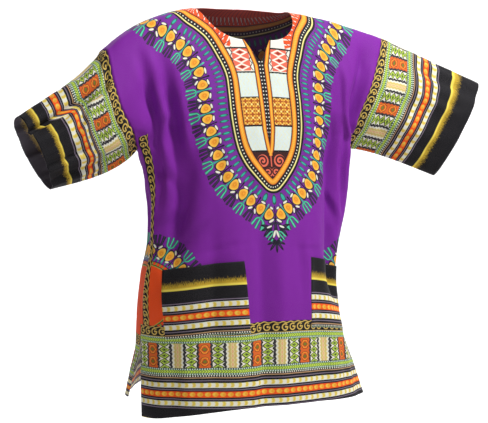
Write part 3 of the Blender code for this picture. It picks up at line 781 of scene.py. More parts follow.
def smooth_line(points):
    """A finely stepped curve through a row of flat points."""
    table = np.array(points, float)
    before, after = np.vstack([table[:1], table[:-1]]), np.vstack([table[1:], table[-1:]])
    tangent = 0.5 * (after - before)
    share = np.linspace(0.0, 1.0, LINE_STEPS, endpoint=False)[:, None]
    pieces = []
    for start, end, leave, arrive in zip(table[:-1], table[1:], tangent[:-1], tangent[1:]):
        pieces.append(curve_between(share, start, leave, end, arrive))
    return np.vstack(pieces + [table[-1:]])


def line_fields(half_line, across, down):
    """Distance outside a mirrored line of the print, and the run along it from the middle."""
    half = np.array(half_line)
    full = np.vstack([half, (half * [-1.0, 1.0])[::-1]])
    line = smooth_line(full)
    step = np.diff(line, axis=0)
    length = np.linalg.norm(step, axis=1)
    run = np.concatenate([[0.0], np.cumsum(length)])
    run = run - 0.5 * run[-1]
    flat = np.stack([across.ravel(), down.ravel()], axis=1)
    best = np.full(len(flat), np.inf)
    distance, along = np.zeros(len(flat)), np.zeros(len(flat))
    for start, vector, size, run_start in zip(line[:-1], step, length, run[:-1]):
        offset = flat - start
        share = np.clip((offset @ vector) / size**2, 0.0, 1.0)
        apart = offset - share[:, None] * vector
        far = np.linalg.norm(apart, axis=1)
        closer = far < best
        side = vector[0] * offset[:, 1] - vector[1] * offset[:, 0]
        best = np.where(closer, far, best)
        distance = np.where(closer, np.where(side > 0.0, -far, far), distance)
        along = np.where(closer, run_start + share * size, along)
    return distance, along


def add_object(name, data):
    """A new object with its data, in the scene."""
    made = bpy.data.objects.new(name, data)
    bpy.context.scene.collection.objects.link(made)
    return made


def mesh_object(name, maker, materials):
    """What a maker holds, as a smooth mesh object with its materials."""
    for face in maker.faces:
        face.smooth = True
    mesh = bpy.data.meshes.new(name)
    maker.to_mesh(mesh)
    maker.free()
    for material in materials:
        mesh.materials.append(material)
    return add_object(name, mesh)


def grid_shell(name, points, first, second, materials, fields=None, closed=False):
    """A thin cloth shell from a grid of worn points, with its flat cut and fields as UV maps."""
    rows, columns = points.shape[:2]
    maker = bmesh.new()
    bmesh.ops.create_grid(maker, x_segments=columns - 1, y_segments=rows - 1, size=1.0)
    ordered = sorted(maker.verts, key=lambda v: (round(-v.co.y, 5), round(v.co.x, 5)))
    for vertex, point in zip(ordered, points.reshape(-1, 3)):
        vertex.co = point
    maker.verts.index_update()
    maps = {"cut": (first, second)}
    for title, (distance, along) in (fields or {}).items():
        maps[title] = (along, distance)
    for title, (x, y) in maps.items():
        layer = maker.loops.layers.uv.new(title)
        values = np.zeros((len(ordered), 2))
        values[[v.index for v in ordered]] = np.stack([x.ravel(), y.ravel()], axis=1)
        for face in maker.faces:
            for loop in face.loops:
                loop[layer].uv = values[loop.vert.index]
    if closed:
        bmesh.ops.remove_doubles(maker, verts=maker.verts, dist=MERGE_DISTANCE)
    piece = mesh_object(name, maker, materials)
    wall = piece.modifiers.new("wall", "SOLIDIFY")
    wall.thickness = CLOTH
    wall.offset = 0.0
    wall.material_offset = 1
    wall.material_offset_rim = 1
    return piece


def set_stops(ramp, stops):
    """The stops of a hard-edged colour ramp: rows of a place, 0 to 1, and a colour."""
    ramp.interpolation = "CONSTANT"
    for index, (place, colour) in enumerate(stops):
        stop = ramp.elements[index] if index < 2 else ramp.elements.new(place)
        stop.position = place
        stop.color = colour


def add_node(tree, kind, settings, values):
    """A new node of a kind: its settings, then its inputs, by name or number, set or linked."""
    made = tree.nodes.new(kind)
    for key, value in settings.items():
        if key == "stops":
            set_stops(made.color_ramp, value)
        else:
            setattr(made, key, value)
    for key, value in values.items():
        if isinstance(value, Mask):
            value = value.socket
        if isinstance(value, bpy.types.NodeSocket):
            tree.links.new(value, made.inputs[key])
        else:
            made.inputs[key].default_value = value
    return made


class Mask:
    """A number on the surface: Python operators on it add Math nodes."""

    def __init__(self, tree, socket):
        self.tree, self.socket = tree, socket

    def math(self, operation, *others, clamp=False):
        settings = {"operation": operation, "use_clamp": clamp}
        made = add_node(self.tree, "ShaderNodeMath", settings, dict(enumerate((self,) + others)))
        return Mask(self.tree, made.outputs[0])

    def __add__(self, other):
        return self.math("ADD", other)

    __radd__ = __add__

    def __sub__(self, other):
        return self.math("SUBTRACT", other)

    def __rsub__(self, other):
        return self.math("MULTIPLY_ADD", -1.0, other)

    def __mul__(self, other):
        return self.math("MULTIPLY", other)

    __rmul__ = __mul__

    def __pow__(self, other):
        return self.math("POWER", other)

    def __abs__(self):
        return self.math("ABSOLUTE")

    def sine(self):
        return self.math("SINE")

    def wave(self, pitch):
        """A sine of one pitch."""
        return (self * (2.0 * math.pi / pitch)).sine()

    def least(self, other):
        return self.math("MINIMUM", other)

    def most(self, other):
        return self.math("MAXIMUM", other)

    def repeat(self, pitch):
        """The value measured from the nearest multiple of the pitch."""
        return self.math("WRAP", 0.5 * pitch, -0.5 * pitch)

    def mirror(self, pitch):
        """The distance from the nearest multiple of the pitch."""
        return self.math("PINGPONG", 0.5 * pitch)

    def over(self, limit, soft=EDGE_SOFTNESS):
        return self.math("MULTIPLY_ADD", 1.0 / soft, 0.5 - limit / soft, clamp=True)

    def under(self, limit, soft=EDGE_SOFTNESS):
        return self.math("MULTIPLY_ADD", -1.0 / soft, 0.5 + limit / soft, clamp=True)

    def within(self, low, high, soft=EDGE_SOFTNESS):
        return self.over(low, soft) * self.under(high, soft)


def linear(colour):
    """A display colour as the light values that the shader takes."""
    return tuple(c / 12.92 if c <= 0.04045 else ((c + 0.055) / 1.055) ** 2.4 for c in colour) + (1.0,)


class Cloth:
    """One printed cloth: its material, and the colour as it is built up layer by layer."""

    def __init__(self, name):
        self.material = bpy.data.materials.new(name)
        self.material.use_nodes = True
        self.tree = self.material.node_tree
        self.colour = None

    def map(self, title):
        """The two values of a UV map."""
        place = add_node(self.tree, "ShaderNodeUVMap", {"uv_map": title}, {})
        parts = add_node(self.tree, "ShaderNodeSeparateXYZ", {}, {0: place.outputs[0]})
        return Mask(self.tree, parts.outputs["X"]), Mask(self.tree, parts.outputs["Y"])

    def point(self, x, y):
        return add_node(self.tree, "ShaderNodeCombineXYZ", {}, {"X": x, "Y": y}).outputs[0]

    def length(self, x, y):
        values = {0: self.point(x, y)}
        measured = add_node(self.tree, "ShaderNodeVectorMath", {"operation": "LENGTH"}, values)
        return Mask(self.tree, measured.outputs["Value"])

    def noise(self, x, y, scale, detail=2.0):
        values = {"Vector": self.point(x, y), "Scale": scale, "Detail": detail}
        made = add_node(self.tree, "ShaderNodeTexNoise", {"noise_dimensions": "2D"}, values)
        return Mask(self.tree, made.outputs[0])

    def dye(self, name):
        return linear(DYES[name])

    def blend(self, share, lower, upper):
        settings = {"data_type": "RGBA", "clamp_factor": True}
        values = {MIX_FACTOR: share, MIX_LOWER: lower, MIX_UPPER: upper}
        return add_node(self.tree, "ShaderNodeMix", settings, values).outputs[MIX_COLOUR]

    def paint(self, share, colour):
        if isinstance(colour, str):
            colour = self.dye(colour)
        self.colour = self.blend(share, self.colour, colour)

    def layers(self, zone, *rows):
        """Shapes inside a zone, one over the other: rows of a shape and its dye."""
        for shape, dye in rows:
            self.paint(zone * shape, dye)

    def stripes(self, value, end, rows):
        """Hard-edged stripes over a value from 0 to an end: rows of where each starts and its dye."""
        stops = [(start / end, self.dye(name)) for start, name in rows]
        ramp = add_node(self.tree, "ShaderNodeValToRGB", {"stops": stops}, {0: value * (1.0 / end)})
        return ramp.outputs[0]


def dots(cloth, run, pitch, offset, radius):
    """A row of round dots along a line: run along it and offset from it."""
    return cloth.length(run.repeat(pitch), offset).under(radius)


def leaf(cloth, across, height, lean, long, thick):
    """An oval leaf that leans away from its stalk: 0 at its middle and 1 at its edge."""
    along = across * math.cos(lean) + height * math.sin(lean)
    aside = across * math.sin(lean) - height * math.cos(lean)
    return cloth.length(along * (1.0 / long), aside * (1.0 / thick))


def white_leaves(cloth, zone, leaves):
    """White leaves with a navy edge."""
    cloth.layers(zone, (leaves.under(1.45, 0.2), "navy"), (leaves.under(1.0, 0.2), "white"))


def gold_scroll(cloth, run, depth):
    """Curls of gold with a wavy line at the outer edge: the share of the ground that is gold."""
    x = run.repeat(SCROLL_PITCH)
    ring = abs(cloth.length(x, depth - SCROLL_MIDDLE) - 0.0060).under(0.0012)
    gap = (x - 0.0030).over(0.0) * abs(depth - 0.0088).under(0.0014)
    hook = cloth.length(x - 0.0018, depth - 0.0112).under(0.0021)
    bar = abs(depth - SCROLL_MIDDLE).under(0.0009) * x.within(0.0010, 0.0060)
    edge = abs(depth - 0.0024 - 0.0012 * run.wave(SCROLL_PITCH)).under(0.0009)
    return (ring * (1.0 - gap)).most(hook).most(bar).most(edge)


def twill_bands(cloth, run, from_blocks):
    """Two green bands with beaded edges, as far above as below the middle of the block band."""
    zone = from_blocks.within(0.0250, 0.0372)
    from_middle = abs(from_blocks - 0.0311)
    core = from_middle.under(0.0029)
    slant = abs((run + from_middle * 1.4).repeat(0.0056)).under(0.0008)
    beads = dots(cloth, run, 0.0048, from_middle - 0.0049, 0.0014)
    cloth.paint(zone, "dark_green")
    cloth.layers(zone, (core, "lime"), (core * slant, "dark_green"), (beads, "bead_blue"))


def block_band(cloth, run, depth, from_blocks):
    """Lozenge columns between orange and cream blocks."""
    blocks = from_blocks.under(0.0240)
    across = (run - BLOCK_START).mirror(BORDER_REPEAT) + 0.0009 * (depth * 760.0).sine()
    cloth.paint(blocks, "navy")

    in_lozenge = blocks * across.within(0.0125, 0.0395)
    column = abs(across - 0.0260)
    step = abs((depth - BLOCKS_MIDDLE).repeat(2.0 * LOZENGE_HALF_HEIGHT))
    lozenge = column * (1.0 / 0.0104) + step * (1.0 / LOZENGE_HALF_HEIGHT)
    cloth.paint(in_lozenge, "white")
    cloth.layers(
        in_lozenge,
        (lozenge.under(1.22, 0.1), "black"),
        (lozenge.under(0.92, 0.1), "lime"),
        (lozenge.within(0.40, 0.58, 0.1), "dark_green"),
        (lozenge.under(0.30, 0.1), "black"),
        ((column + 0.42 * step).over(0.0120), "black"),
    )

    in_orange = blocks * across.under(0.0108)
    ring = cloth.length(across, from_blocks - 2.0 * LOZENGE_HALF_HEIGHT)
    cloth.paint(in_orange, "fired_orange")
    cloth.layers(
        in_orange,
        (ring.within(0.0066, 0.0082), "orange"),
        (ring.within(0.0082, 0.0094), "brick"),
        (ring.under(0.0046), "brick"),
        (ring.under(0.0034), "olive"),
    )

    in_cream = blocks * across.over(0.0420)
    cloth.paint(in_cream, "cream")
    cloth.layers(
        in_cream,
        ((across + 0.0010 * (depth * 1250.0).sine()).under(0.0456), "white"),
        (abs(across - 0.0490).under(0.0022, 0.0012) * 0.85, "sand"),
        (abs(across - 0.0536).under(0.0008, 0.0010) * 0.6, "coral"),
    )


def check_bands(cloth, run, from_orange):
    """The orange band with yellow crescents, between two white stripes with yellow checks."""
    in_check = from_orange.within(0.0138, 0.0222)
    check = (run + 0.4 * abs(from_orange - 0.0180)).wave(CHECK_PITCH)
    cloth.layers(in_check, (check.over(0.15, 0.8), "yellow"), (check.over(0.75, 0.3) * 0.5, "gold"))

    in_band = from_orange.under(0.0055)
    x, y = run.repeat(CHECK_PITCH), from_orange * (1.0 / 0.0042)
    near = cloth.length(x * (1.0 / 0.0062), y)
    far = cloth.length((x - 0.0046) * (1.0 / 0.0062), y)
    crescent = near.under(0.85, 0.3) * far.over(0.85, 0.3)
    cloth.paint(in_band, "vermilion")
    cloth.layers(in_band, (near.under(1.0, 0.3), "orange"), (crescent * 0.6, "yellow"))


def feathered_stripe(cloth, run, depth):
    """A yellow stripe, sharp on one side and feathered on the other."""
    streak = cloth.noise(run * 2.4, depth * 0.35, 430.0, 1.0)
    reach = 0.1880 + streak * 0.020
    feather = depth.over(0.1862) * (reach - depth).over(0.0, 0.007)
    cloth.paint(feather, "feather_gold")
    cloth.paint(feather * depth.under(0.1905, 0.003), "yellow")


def border_print(cloth, run, depth):
    """The striped border over a piece: run along it, depth from its scalloped edge."""
    from_blocks = abs(depth - BLOCKS_MIDDLE)
    cloth.colour = cloth.stripes(depth, BORDER_END, BORDER_STRIPES)
    cloth.paint(gold_scroll(cloth, run, depth) * depth.under(SCROLL_END), "gold")
    twill_bands(cloth, run, from_blocks)
    block_band(cloth, run, depth, from_blocks)
    cloth.paint(dots(cloth, run, 0.0052, depth - 0.0985, 0.0014), "white")
    check_bands(cloth, run, abs(depth - ORANGE_BAND_MIDDLE))
    feathered_stripe(cloth, run, depth)


def tulip(cloth, across, out, size):
    """A tulip of three prongs that opens outwards: its broad prongs and the thin lines on them."""
    flared = across * (1.0 - out * 13.0)
    cup = abs(cloth.length(flared, (out - 0.0078 * size).least(0.0)) - 0.0064 * size)
    middle = abs(across).most(0.0040 * size - out)
    prong = cup.least(middle)
    tips = (out + 0.30 * abs(across)).under(0.0250 * size, 0.0012)
    return prong.under(0.0023 * size) * tips, prong.under(0.0012 * size) * tips


def fringe(cloth, run, height, zone):
    """A row of short dashes that stand on the edge of the neck shield."""
    dash = leaf(cloth, run.repeat(0.0112), height - 0.0175, 0.5 * math.pi, 0.0070, 0.0018)
    cloth.layers(zone, (dash.under(1.45, 0.3), "dark_green"), (dash.under(0.95, 0.3), "teal"))


def tulip_row(cloth, run, height, halfway, zone):
    """A navy tulip at each node and a green one halfway between, each on its stem."""
    x = run.repeat(0.5 * GARLAND_PITCH)
    navy = cloth.dye("navy")
    broad, thin = tulip(cloth, x, height - 0.0140, 0.94)
    stem = abs(x).under(0.0013) * height.within(-0.0130, 0.0165)
    drop = cloth.length(x * (1.0 / 0.0018), (height + 0.0150) * (1.0 / 0.0032)).under(1.0, 0.2)
    cloth.layers(
        zone,
        (broad, cloth.blend(halfway, navy, cloth.dye("dark_green"))),
        (thin * (0.22 + 0.78 * halfway), cloth.blend(halfway, cloth.dye("slate"), cloth.dye("mint"))),
        (stem, cloth.blend(halfway, navy, cloth.dye("teal"))),
        (drop, cloth.blend(halfway, navy, cloth.dye("mint"))),
    )


def garland_print(cloth, run, height, zone):
    """Buds, leaves and tulips along a line: run along it, height outside it."""
    side = abs(run.repeat(GARLAND_PITCH))
    tulip_row(cloth, run, height, side.over(0.25 * GARLAND_PITCH, 0.0004), zone)

    # Orange buds on both sides of each node, narrow towards it
    bud_x = (side - 0.0122) * (1.0 / 0.0088)
    bud_y = height * (1.0 / 0.0104) * (1.0 - 0.30 * bud_x)
    bud = abs(bud_x) ** 2.2 + abs(bud_y) ** 1.7
    vein = cloth.length(bud_x - 0.1, bud_y + 0.1).within(0.26, 0.40, 0.1)
    cloth.layers(
        zone,
        (bud.under(1.50, 0.12), "navy"),
        (bud.under(1.0, 0.12), "amber"),
        (bud.under(0.55, 0.60), "orange"),
        (vein * 0.45, "burnt_orange"),
    )

    # Four white leaves around each node
    inner = leaf(cloth, side - 0.0102, height + 0.0128, -0.22, 0.0052, 0.0021)
    outer = leaf(cloth, side - 0.0062, height - 0.0116, 0.85, 0.0052, 0.0020)
    white_leaves(cloth, zone, inner.least(outer))


def finial_print(cloth, side, down):
    """Dark palms, mint tulips and white leaves that hang below the middle of the garland."""
    for across, height in ((0.0115, 0.4560), (0.0000, 0.4830)):
        palm = None
        for turn in (0.00, 0.62, 1.20, 1.78):
            reach = 0.0116 if turn < 1.0 else 0.0100
            x, y = across + reach * math.sin(turn), height + reach * math.cos(turn)
            blade = leaf(cloth, side - x, down - y, 0.5 * math.pi - turn, reach, 0.0027)
            palm = blade if palm is None else palm.least(blade)
        cloth.paint(palm.under(1.0, 0.2), "navy")
        cloth.paint(palm.under(0.35, 0.3) * 0.3, "slate")
    x, y, lean = side - 0.0040, down - 0.4660, 0.70
    aside, out = x * math.cos(lean) - y * math.sin(lean), x * math.sin(lean) + y * math.cos(lean)
    broad, thin = tulip(cloth, aside, out, 0.80)
    cloth.paint(broad, "dark_green")
    cloth.paint(thin, "mint")
    lower = leaf(cloth, side - 0.0034, down - 0.4700, 1.25, 0.0076, 0.0022)
    upper = leaf(cloth, side - 0.0130, down - 0.4560, 0.35, 0.0056, 0.0018)
    white_leaves(cloth, 1.0, lower.least(upper))


def rope(cloth, zone, distance, half, core, glint):
    """An orange rope along a line: its half width, and the widths of its core and its glint."""
    cloth.layers(
        zone,
        (distance.under(half), "burnt_orange"),
        (distance.under(*core), "orange"),
        (distance.under(*glint) * 0.8, "amber"),
    )


def shield_bands(cloth, run, height):
    """The lines, dots and orange rope along the edge of the neck shield."""
    cloth.paint(height.within(-0.0240, 0.0058), "black")
    cloth.paint(abs(height).under(0.0014), "pale_yellow")
    middle = abs(height + 0.0165)
    rope(cloth, 1.0, middle, 0.0055, (0.0042, 0.0020), (0.0012, 0.0034))
    rib = abs((run + height * 0.8).repeat(0.0056)).under(0.0006)
    cloth.paint(rib * middle.under(0.0048) * 0.35, "burnt_orange")
    cloth.paint(dots(cloth, run, 0.0070, height + 0.0062, 0.0014), "white")


def curl(cloth, x, y, pitch, reach):
    """A spiral line of one pitch around a point."""
    turn = y.math("ARCTAN2", x) * (pitch / (2.0 * math.pi))
    radius = cloth.length(x, y)
    return abs((radius - turn).repeat(pitch)).under(0.26 * pitch) * radius.under(reach)


def diamonds(cloth, side, down, zone):
    """Three diamonds between zigzag edges."""
    x = abs(side - 0.0425)
    y = abs((down - 0.1150).repeat(0.0143))
    diamond = x * (1.0 / 0.0170) + y * (1.0 / 0.0074)
    zigzag = x - 0.75 * y
    cloth.layers(
        zone,
        (x.under(0.0190), "coral"),
        (diamond.within(0.62, 1.04, 0.1), "white"),
        (diamond.under(0.40, 0.1), "brick"),
        (zigzag.over(0.0168), "black"),
        (zigzag.over(0.0190), "white"),
    )


def pale_tiles(cloth, side, down, zone):
    """Faint grain and wavy lines on the pale blocks."""
    line = abs((side + 0.0022 * (down * 560.0).sine()).repeat(0.0085)).under(0.0009, 0.0014)
    grain = cloth.noise(side, down, 260.0, 2.0)
    cloth.layers(
        zone,
        (line * grain.over(0.46, 0.1) * 0.55, "pale_yellow"),
        (grain.under(0.44, 0.06) * 0.30, "bead_blue"),
    )


def small_flowers(cloth, side, down, zone):
    """Rows of small four-petalled flowers."""
    x, y = (side - 0.0190).repeat(0.0132), (down - FLOWERS[0]).repeat(0.0133)
    heart = cloth.length(x, y)
    petals = abs(abs(x) - abs(y)).under(0.0022, 0.0010) * heart.under(0.0068)
    cloth.layers(
        zone,
        (petals, "amber"),
        (heart.within(0.0024, 0.0034) * 0.8, "brick"),
        (heart.under(0.0018), "pale_yellow"),
        (abs(x).over(0.0060, 0.0008) * 0.8, "amber"),
    )


def slit_piping(cloth, side, down, inside):
    """The piping beside the slit, which closes in a point, and its dotted black middle."""
    spread = 0.0096 + (0.232 - down) * 0.016 + 0.28 * (0.140 - down).most(0.0)
    closing = ((0.3140 - down) * (1.0 / 0.046)).most(0.0).least(1.0) ** 0.55
    piping = side - spread * closing
    zone = inside * down.under(0.3190)
    cloth.paint(zone * piping.under(0.0058), "black")
    rope(cloth, zone, abs(piping), 0.0040, (0.0026, 0.0014), (0.0006, 0.0020))
    row = dots(cloth, down, 0.0074, side - 0.0030, 0.0013)
    cloth.paint(zone * piping.under(-0.0052) * row, "white")


def placket_print(cloth, side, down, inside):
    """The blocks, small flowers and scrolls inside the long front shield."""
    cloth.paint(inside, cloth.stripes(down, PLACKET_END, PLACKET_STRIPES))
    diamonds(cloth, side, down, inside * down.within(*DIAMONDS))
    pale_tiles(cloth, side, down, inside * down.within(*UPPER_TILES).most(down.within(*LOWER_TILES)))
    small_flowers(cloth, side, down, inside * down.within(*FLOWERS))
    upper = curl(cloth, side - 0.0185, down - 0.3290, 0.0074, 0.0125)
    lower = curl(cloth, side - 0.0080, down - 0.3510, 0.0064, 0.0095)
    stem = abs(side).under(0.0012) * down.under(0.3400)
    cloth.layers(inside * down.over(PLACKET_TIP), (upper.most(lower), "coral"), (stem, "coral"))
    slit_piping(cloth, side, down, inside)


def collar_print(cloth, run, height, inside):
    """Red ground with pale strokes by the neck edge."""
    stroke = abs((run + height * 0.5).repeat(STROKE_PITCH)).under(0.0013)
    line = abs((run + 0.005).repeat(STROKE_PITCH)).under(0.0008)
    cloth.paint(inside, "vermilion")
    cloth.layers(inside, (stroke * height.within(-0.0470, -0.0270), "white"), (line, "brick"))


def side_prints(cloth, across, down, front):
    """The medallion at the lower side corner and the scroll up the side seam of the front."""
    side = abs(across)
    x, y = side - SIDE_MEDALLION[0], down - SIDE_MEDALLION[1]
    radius = cloth.length(x, y)
    run = y.math("ARCTAN2", x) * MEDALLION_GARLAND
    above = down.under(BORDER_ON_BODY)
    zone = above * radius.under(0.146)
    petals = zone * radius.over(0.0835)
    fringe(cloth, run, radius - 0.071, petals)
    garland_print(cloth, run, radius - MEDALLION_GARLAND, petals)
    ring = radius.within(0.0755, 0.0815)
    cloth.layers(
        zone,
        (radius.under(0.0830), "navy"),
        (ring * abs(run.repeat(MEDALLION_PITCH)).under(0.0042), "vermilion"),
        (ring * abs((run + 0.5 * MEDALLION_PITCH).repeat(MEDALLION_PITCH)).under(0.0014), "leaf_green"),
        (radius.under(0.0740), "leaf_green"),
        (radius.under(0.0722), "vermilion"),
    )
    if front:
        from_seam = side - SIDE_SCROLL
        scroll = above * down.over(SIDE_SCROLL_TOP, 0.002) * from_seam.within(0.0, 0.0215)
        cloth.paint(scroll, "black")
        cloth.paint(scroll * gold_scroll(cloth, down, from_seam), "gold")


def stitched(distance, run):
    """A sunk row of machine stitches at a distance from an edge."""
    row = abs(distance).under(0.0009, 0.0010)
    return row * abs(run.repeat(STITCH_PITCH)).under(0.0011, 0.0006)


def finish_cloth(cloth, reverse, across, down, seams):
    """Thread, weave and stitching, and a paler colour on the wrong side of the cloth."""
    tree = cloth.tree
    shader = tree.nodes["Principled BSDF"]
    thread = cloth.noise(across, down, 900.0, 2.0)
    worn = cloth.blend(thread.over(0.55, 0.3) * 0.06, cloth.colour, THREAD_COLOUR)
    if reverse:
        worn = cloth.blend(WRONG_SIDE_SHARE, worn, WRONG_SIDE_COLOUR)
    height = across.wave(WARP_PITCH) * down.wave(WEFT_PITCH) * WEAVE_HEIGHT
    height = height + thread * THREAD_HEIGHT - seams * STITCH_DEPTH
    bump = add_node(tree, "ShaderNodeBump", {}, {"Height": height, "Strength": 0.5, "Distance": 1.0})
    rough = 0.60 + 0.14 * thread
    tree.links.new(worn, shader.inputs["Base Color"])
    tree.links.new(bump.outputs[0], shader.inputs["Normal"])
    tree.links.new(rough.socket, shader.inputs["Roughness"])
    for name, value in COTTON.items():
        shader.inputs[name].default_value = value


def body_cloth(name, front, reverse):
    cloth = Cloth(name)
    across, down = cloth.map("cut")
    shield_run, shield_height = cloth.map("shield")
    garland_run, garland_height = cloth.map("garland")
    side = abs(across)
    border_print(cloth, across + BODY_PRINT_SHIFT, down - BORDER_ON_BODY)
    border = cloth.colour

    broad = cloth.noise(across, down, 9.0, 2.0)
    cloth.colour = cloth.blend(broad.over(0.5, 1.2) * 0.3, cloth.dye("purple"), cloth.dye("deep_purple"))
    ground = shield_height.over(0.0) * garland_height.under(0.020, 0.016)
    cloth.paint(ground * 0.35, "violet")
    side_prints(cloth, across, down, front)
    around = shield_height.over(0.004) * garland_height.under(0.040)
    fringe(cloth, shield_run, shield_height, around)
    garland_print(cloth, garland_run, garland_height, around)

    inside = shield_height.under(-0.0238)
    collar = inside
    if front:
        finial_print(cloth, side, down)
        placket_print(cloth, side, down, inside)
        collar = inside * (down + side * 0.35).under(0.1260, 0.002) * side.over(0.060)
    collar_print(cloth, shield_run, shield_height, collar)
    shield_bands(cloth, shield_run, shield_height)
    cloth.paint(down.over(BORDER_ON_BODY), border)
    finish_cloth(cloth, reverse, across, down, stitched(down - (BODY_LENGTH - HEM), across))
    return cloth.material


def sleeve_cloth(name, reverse):
    cloth = Cloth(name)
    round_, along = cloth.map("cut")
    border_print(cloth, round_ + SLEEVE_PRINT_SHIFT, along)
    hem = stitched(along - (SLEEVE_LENGTH - HEM), round_).most(stitched(along - EDGE_STITCH, round_))
    finish_cloth(cloth, reverse, round_, along, hem)
    return cloth.material


def pocket_cloth(name, reverse):
    cloth = Cloth(name)
    across, down = cloth.map("cut")
    border_print(cloth, across + POCKET_PRINT_SHIFT, BORDER_ON_POCKET - down * POCKET_PRINT_STRETCH)
    from_side = 0.5 * POCKET_WIDTH - abs(across - 0.5 * POCKET_WIDTH)
    rows = stitched(from_side - POCKET_STITCH, down)
    rows = rows.most(stitched(down - (POCKET_HEIGHT - POCKET_STITCH), across))
    rows = rows.most(stitched(down - POCKET_HEM, across))
    finish_cloth(cloth, reverse, across, down, rows)
    return cloth.material


def side_rise(across, down):
    """How far the print rides up the front at its sides, where the cut isn't true to it."""
    low = smooth_step(0.430, 0.640, down)
    right = RIGHT_PRINT_RISE * smooth_step(0.050, 0.300, -across)
    left = LEFT_PRINT_RISE * smooth_step(0.080, 0.260, across)
    return (right + left) * low


def turned_over(*grids):
    """The same grids with their columns in the other order, so that faces point outwards."""
    return [grid[:, ::-1] for grid in grids]


def build_body():
    front = BodyPanel(FRONT_LINE, FRONT_FOLDS, -1.0)
    back = BodyPanel(BACK_LINE, BACK_FOLDS, 1.0)
    rows = np.linspace(0.0, 1.0, PANEL_ROW_STEPS + 1) ** PANEL_ROW_SPREAD * BODY_LENGTH
    made = {}
    for name, panel, creases, facing, seed, depth, foot, shield, garland in (
        ("front", front, FRONT_CREASES, -1.0, FRONT_SEED, NECK_FRONT, SLIT_FOOT, FRONT_SHIELD, FRONT_GARLAND),
        ("back", back, BACK_CREASES, 1.0, BACK_SEED, NECK_BACK, NECK_BACK, BACK_SHIELD, BACK_GARLAND),
    ):
        across, down = cut_grid(rows, depth, foot)
        points, _ = panel_surface(panel, creases, facing, seed, across, down)
        if facing > 0.0:
            points, across, down = turned_over(points, across, down)
        fields = {"shield": line_fields(shield, across, down), "garland": line_fields(garland, across, down)}
        is_front = name == "front"
        cloths = [
            body_cloth(name + "_print", is_front, False),
            body_cloth(name + "_wrong_side", is_front, True),
        ]
        printed = down + side_rise(across, down) if is_front else down
        made[name] = grid_shell(name + "_cloth", points, across, printed, cloths, fields)
    return front, back, made


def build_sleeves(front, back):
    cloths = [sleeve_cloth("sleeve_print", False), sleeve_cloth("sleeve_wrong_side", True)]
    made = {}
    round_ = np.linspace(-ARMHOLE_DEPTH, ARMHOLE_DEPTH, 2 * SLEEVE_HALF_COLUMNS + 1)
    alongs = np.linspace(SLEEVE_START, SLEEVE_LENGTH, SLEEVE_ROWS + 1)
    for name, out, cuff, folds, creases, seed in (
        ("sleeve_right", -1.0, RIGHT_CUFF, RIGHT_SLEEVE_FOLDS, RIGHT_SLEEVE_CREASES, RIGHT_SLEEVE_SEED),
        ("sleeve_left", 1.0, LEFT_CUFF, LEFT_SLEEVE_FOLDS, LEFT_SLEEVE_CREASES, LEFT_SLEEVE_SEED),
    ):
        sleeve = Sleeve(front, back, out, cuff, folds)
        points, first, second = sleeve_surface(sleeve, creases, seed, round_, alongs)
        if out > 0.0:
            points, first, second = turned_over(points, first, second)
        made[name] = grid_shell(name + "_cloth", points, first, second, cloths, closed=True)
    return made


def build_pockets(front):
    """Patch pockets: the front's own cloth surface under each pocket, moved out."""
    cloths = [pocket_cloth("pocket_print", False), pocket_cloth("pocket_wrong_side", True)]
    made = {}
    share_x, share_y = np.meshgrid(
        np.linspace(0.0, 1.0, POCKET_COLUMNS + 1), np.linspace(0.0, 1.0, POCKET_ROWS + 1)
    )
    for name, corners in POCKETS:
        top = np.array(corners[0]) + (np.array(corners[1]) - corners[0]) * share_x[..., None]
        foot = np.array(corners[2]) + (np.array(corners[3]) - corners[2]) * share_x[..., None]
        place = top + (foot - top) * share_y[..., None]
        across, down = place[..., 0], place[..., 1]
        points, normals = panel_surface(front, FRONT_CREASES, -1.0, FRONT_SEED, across, down)
        mouth = (1.0 - smooth_step(0.0, 0.30, share_y)) * np.sin(math.pi * share_x) ** 0.7
        lift = POCKET_LIFT + POCKET_MOUTH_LIFT * mouth
        points = points + normals * lift[..., None]
        patch_across, patch_down = share_x * POCKET_WIDTH, share_y * POCKET_HEIGHT
        made[name] = grid_shell(name + "_cloth", points, patch_across, patch_down, cloths)
    return made


def declare(made):
    """Hide the solid that each cloth piece stands in for, and attach the piece to the root body."""
    for node, piece in made.items():
        slot = "printed_cotton" if node in ("front", "back") else "border_print_cotton"
        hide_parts(node)
        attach(piece, "root")


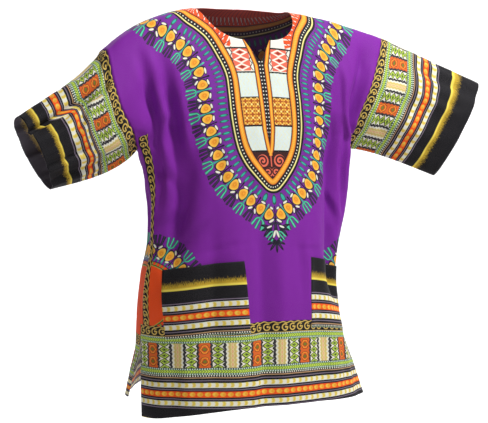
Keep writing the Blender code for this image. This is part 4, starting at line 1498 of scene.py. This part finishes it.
def build_paper(away, right):
    """A pale sweep of paper under and behind the shirt, which glows a little behind it."""
    maker = bmesh.new()
    bmesh.ops.create_grid(maker, x_segments=2, y_segments=40, size=1.0)
    for vertex in maker.verts:
        share = 0.5 * (vertex.co.y + 1.0)
        if share < FLOOR_SHARE:
            depth, height = -PAPER_NEAR + (PAPER_NEAR + PAPER_REACH) * share / FLOOR_SHARE, 0.0
        elif share < BEND_SHARE:
            angle = (share - FLOOR_SHARE) / (BEND_SHARE - FLOOR_SHARE) * 0.5 * math.pi
            depth = PAPER_REACH + PAPER_BEND * math.sin(angle)
            height = PAPER_BEND * (1.0 - math.cos(angle))
        else:
            depth = PAPER_REACH + PAPER_BEND
            height = PAPER_BEND + (share - BEND_SHARE) / (1.0 - BEND_SHARE) * PAPER_HEIGHT
        sideways = right * vertex.co.x * PAPER_HALF_WIDTH
        vertex.co = sideways + away * depth + Vector((0.0, 0.0, FLOOR + height))
    paper = bpy.data.materials.new("studio_paper")
    paper.use_nodes = True
    tree = paper.node_tree
    shader = tree.nodes["Principled BSDF"]
    for name, value in PAPER.items():
        shader.inputs[name].default_value = value
    place = add_node(tree, "ShaderNodeTexCoord", {}, {})
    values = {0: place.outputs["Object"], 1: away}
    behind = add_node(tree, "ShaderNodeVectorMath", {"operation": "DOT_PRODUCT"}, values)
    glow = Mask(tree, behind.outputs["Value"]).over(*GLOW_BEHIND)
    tree.links.new(glow.socket, shader.inputs["Emission Color"])
    mesh_object("studio_sweep", maker, [paper])


def build_lamps():
    for name, azimuth, elevation, distance, size, power in LAMPS:
        lamp = bpy.data.lights.new(name, "AREA")
        lamp.energy = power
        lamp.size = size
        a, e = math.radians(azimuth), math.radians(elevation)
        offset = Vector((math.sin(a) * math.cos(e), -math.cos(a) * math.cos(e), math.sin(e))) * distance
        place = add_object(name, lamp)
        place.location = Vector(LIT_POINT) + offset
        place.rotation_euler = (-offset).to_track_quat("-Z", "Y").to_euler()
    world = bpy.data.worlds.new("studio_air")
    world.use_nodes = True
    air = world.node_tree.nodes["Background"]
    air.inputs["Color"].default_value = (1.0, 1.0, 1.0, 1.0)
    air.inputs["Strength"].default_value = AIR_LIGHT
    bpy.context.scene.world = world


def build_camera(turn):
    view = bpy.data.cameras.new("photo_camera")
    view.sensor_width = SENSOR
    view.lens = FOCAL_PIXELS / PICTURE_WIDTH * SENSOR
    camera = add_object("photo_camera", view)
    camera.location = (CAMERA_DISTANCE * math.sin(turn), -CAMERA_DISTANCE * math.cos(turn), CAMERA_HEIGHT)
    pitch = math.atan((0.5 * PICTURE_HEIGHT - HORIZON_PIXEL) / FOCAL_PIXELS)
    yaw = math.atan((0.5 * PICTURE_WIDTH - AXIS_PIXEL) / FOCAL_PIXELS)
    camera.rotation_euler = (0.5 * math.pi - pitch, 0.0, turn - yaw)
    bpy.context.scene.camera = camera
    bpy.context.scene.view_settings.view_transform = "Standard"


front_panel, back_panel, pieces = build_body()
pieces.update(build_sleeves(front_panel, back_panel))
pieces.update(build_pockets(front_panel))
declare(pieces)
camera_turn = math.radians(CAMERA_TURN)
build_paper(
    away=Vector((-math.sin(camera_turn), math.cos(camera_turn), 0.0)),
    right=Vector((math.cos(camera_turn), math.sin(camera_turn), 0.0)),
)
build_lamps()
build_camera(camera_turn)
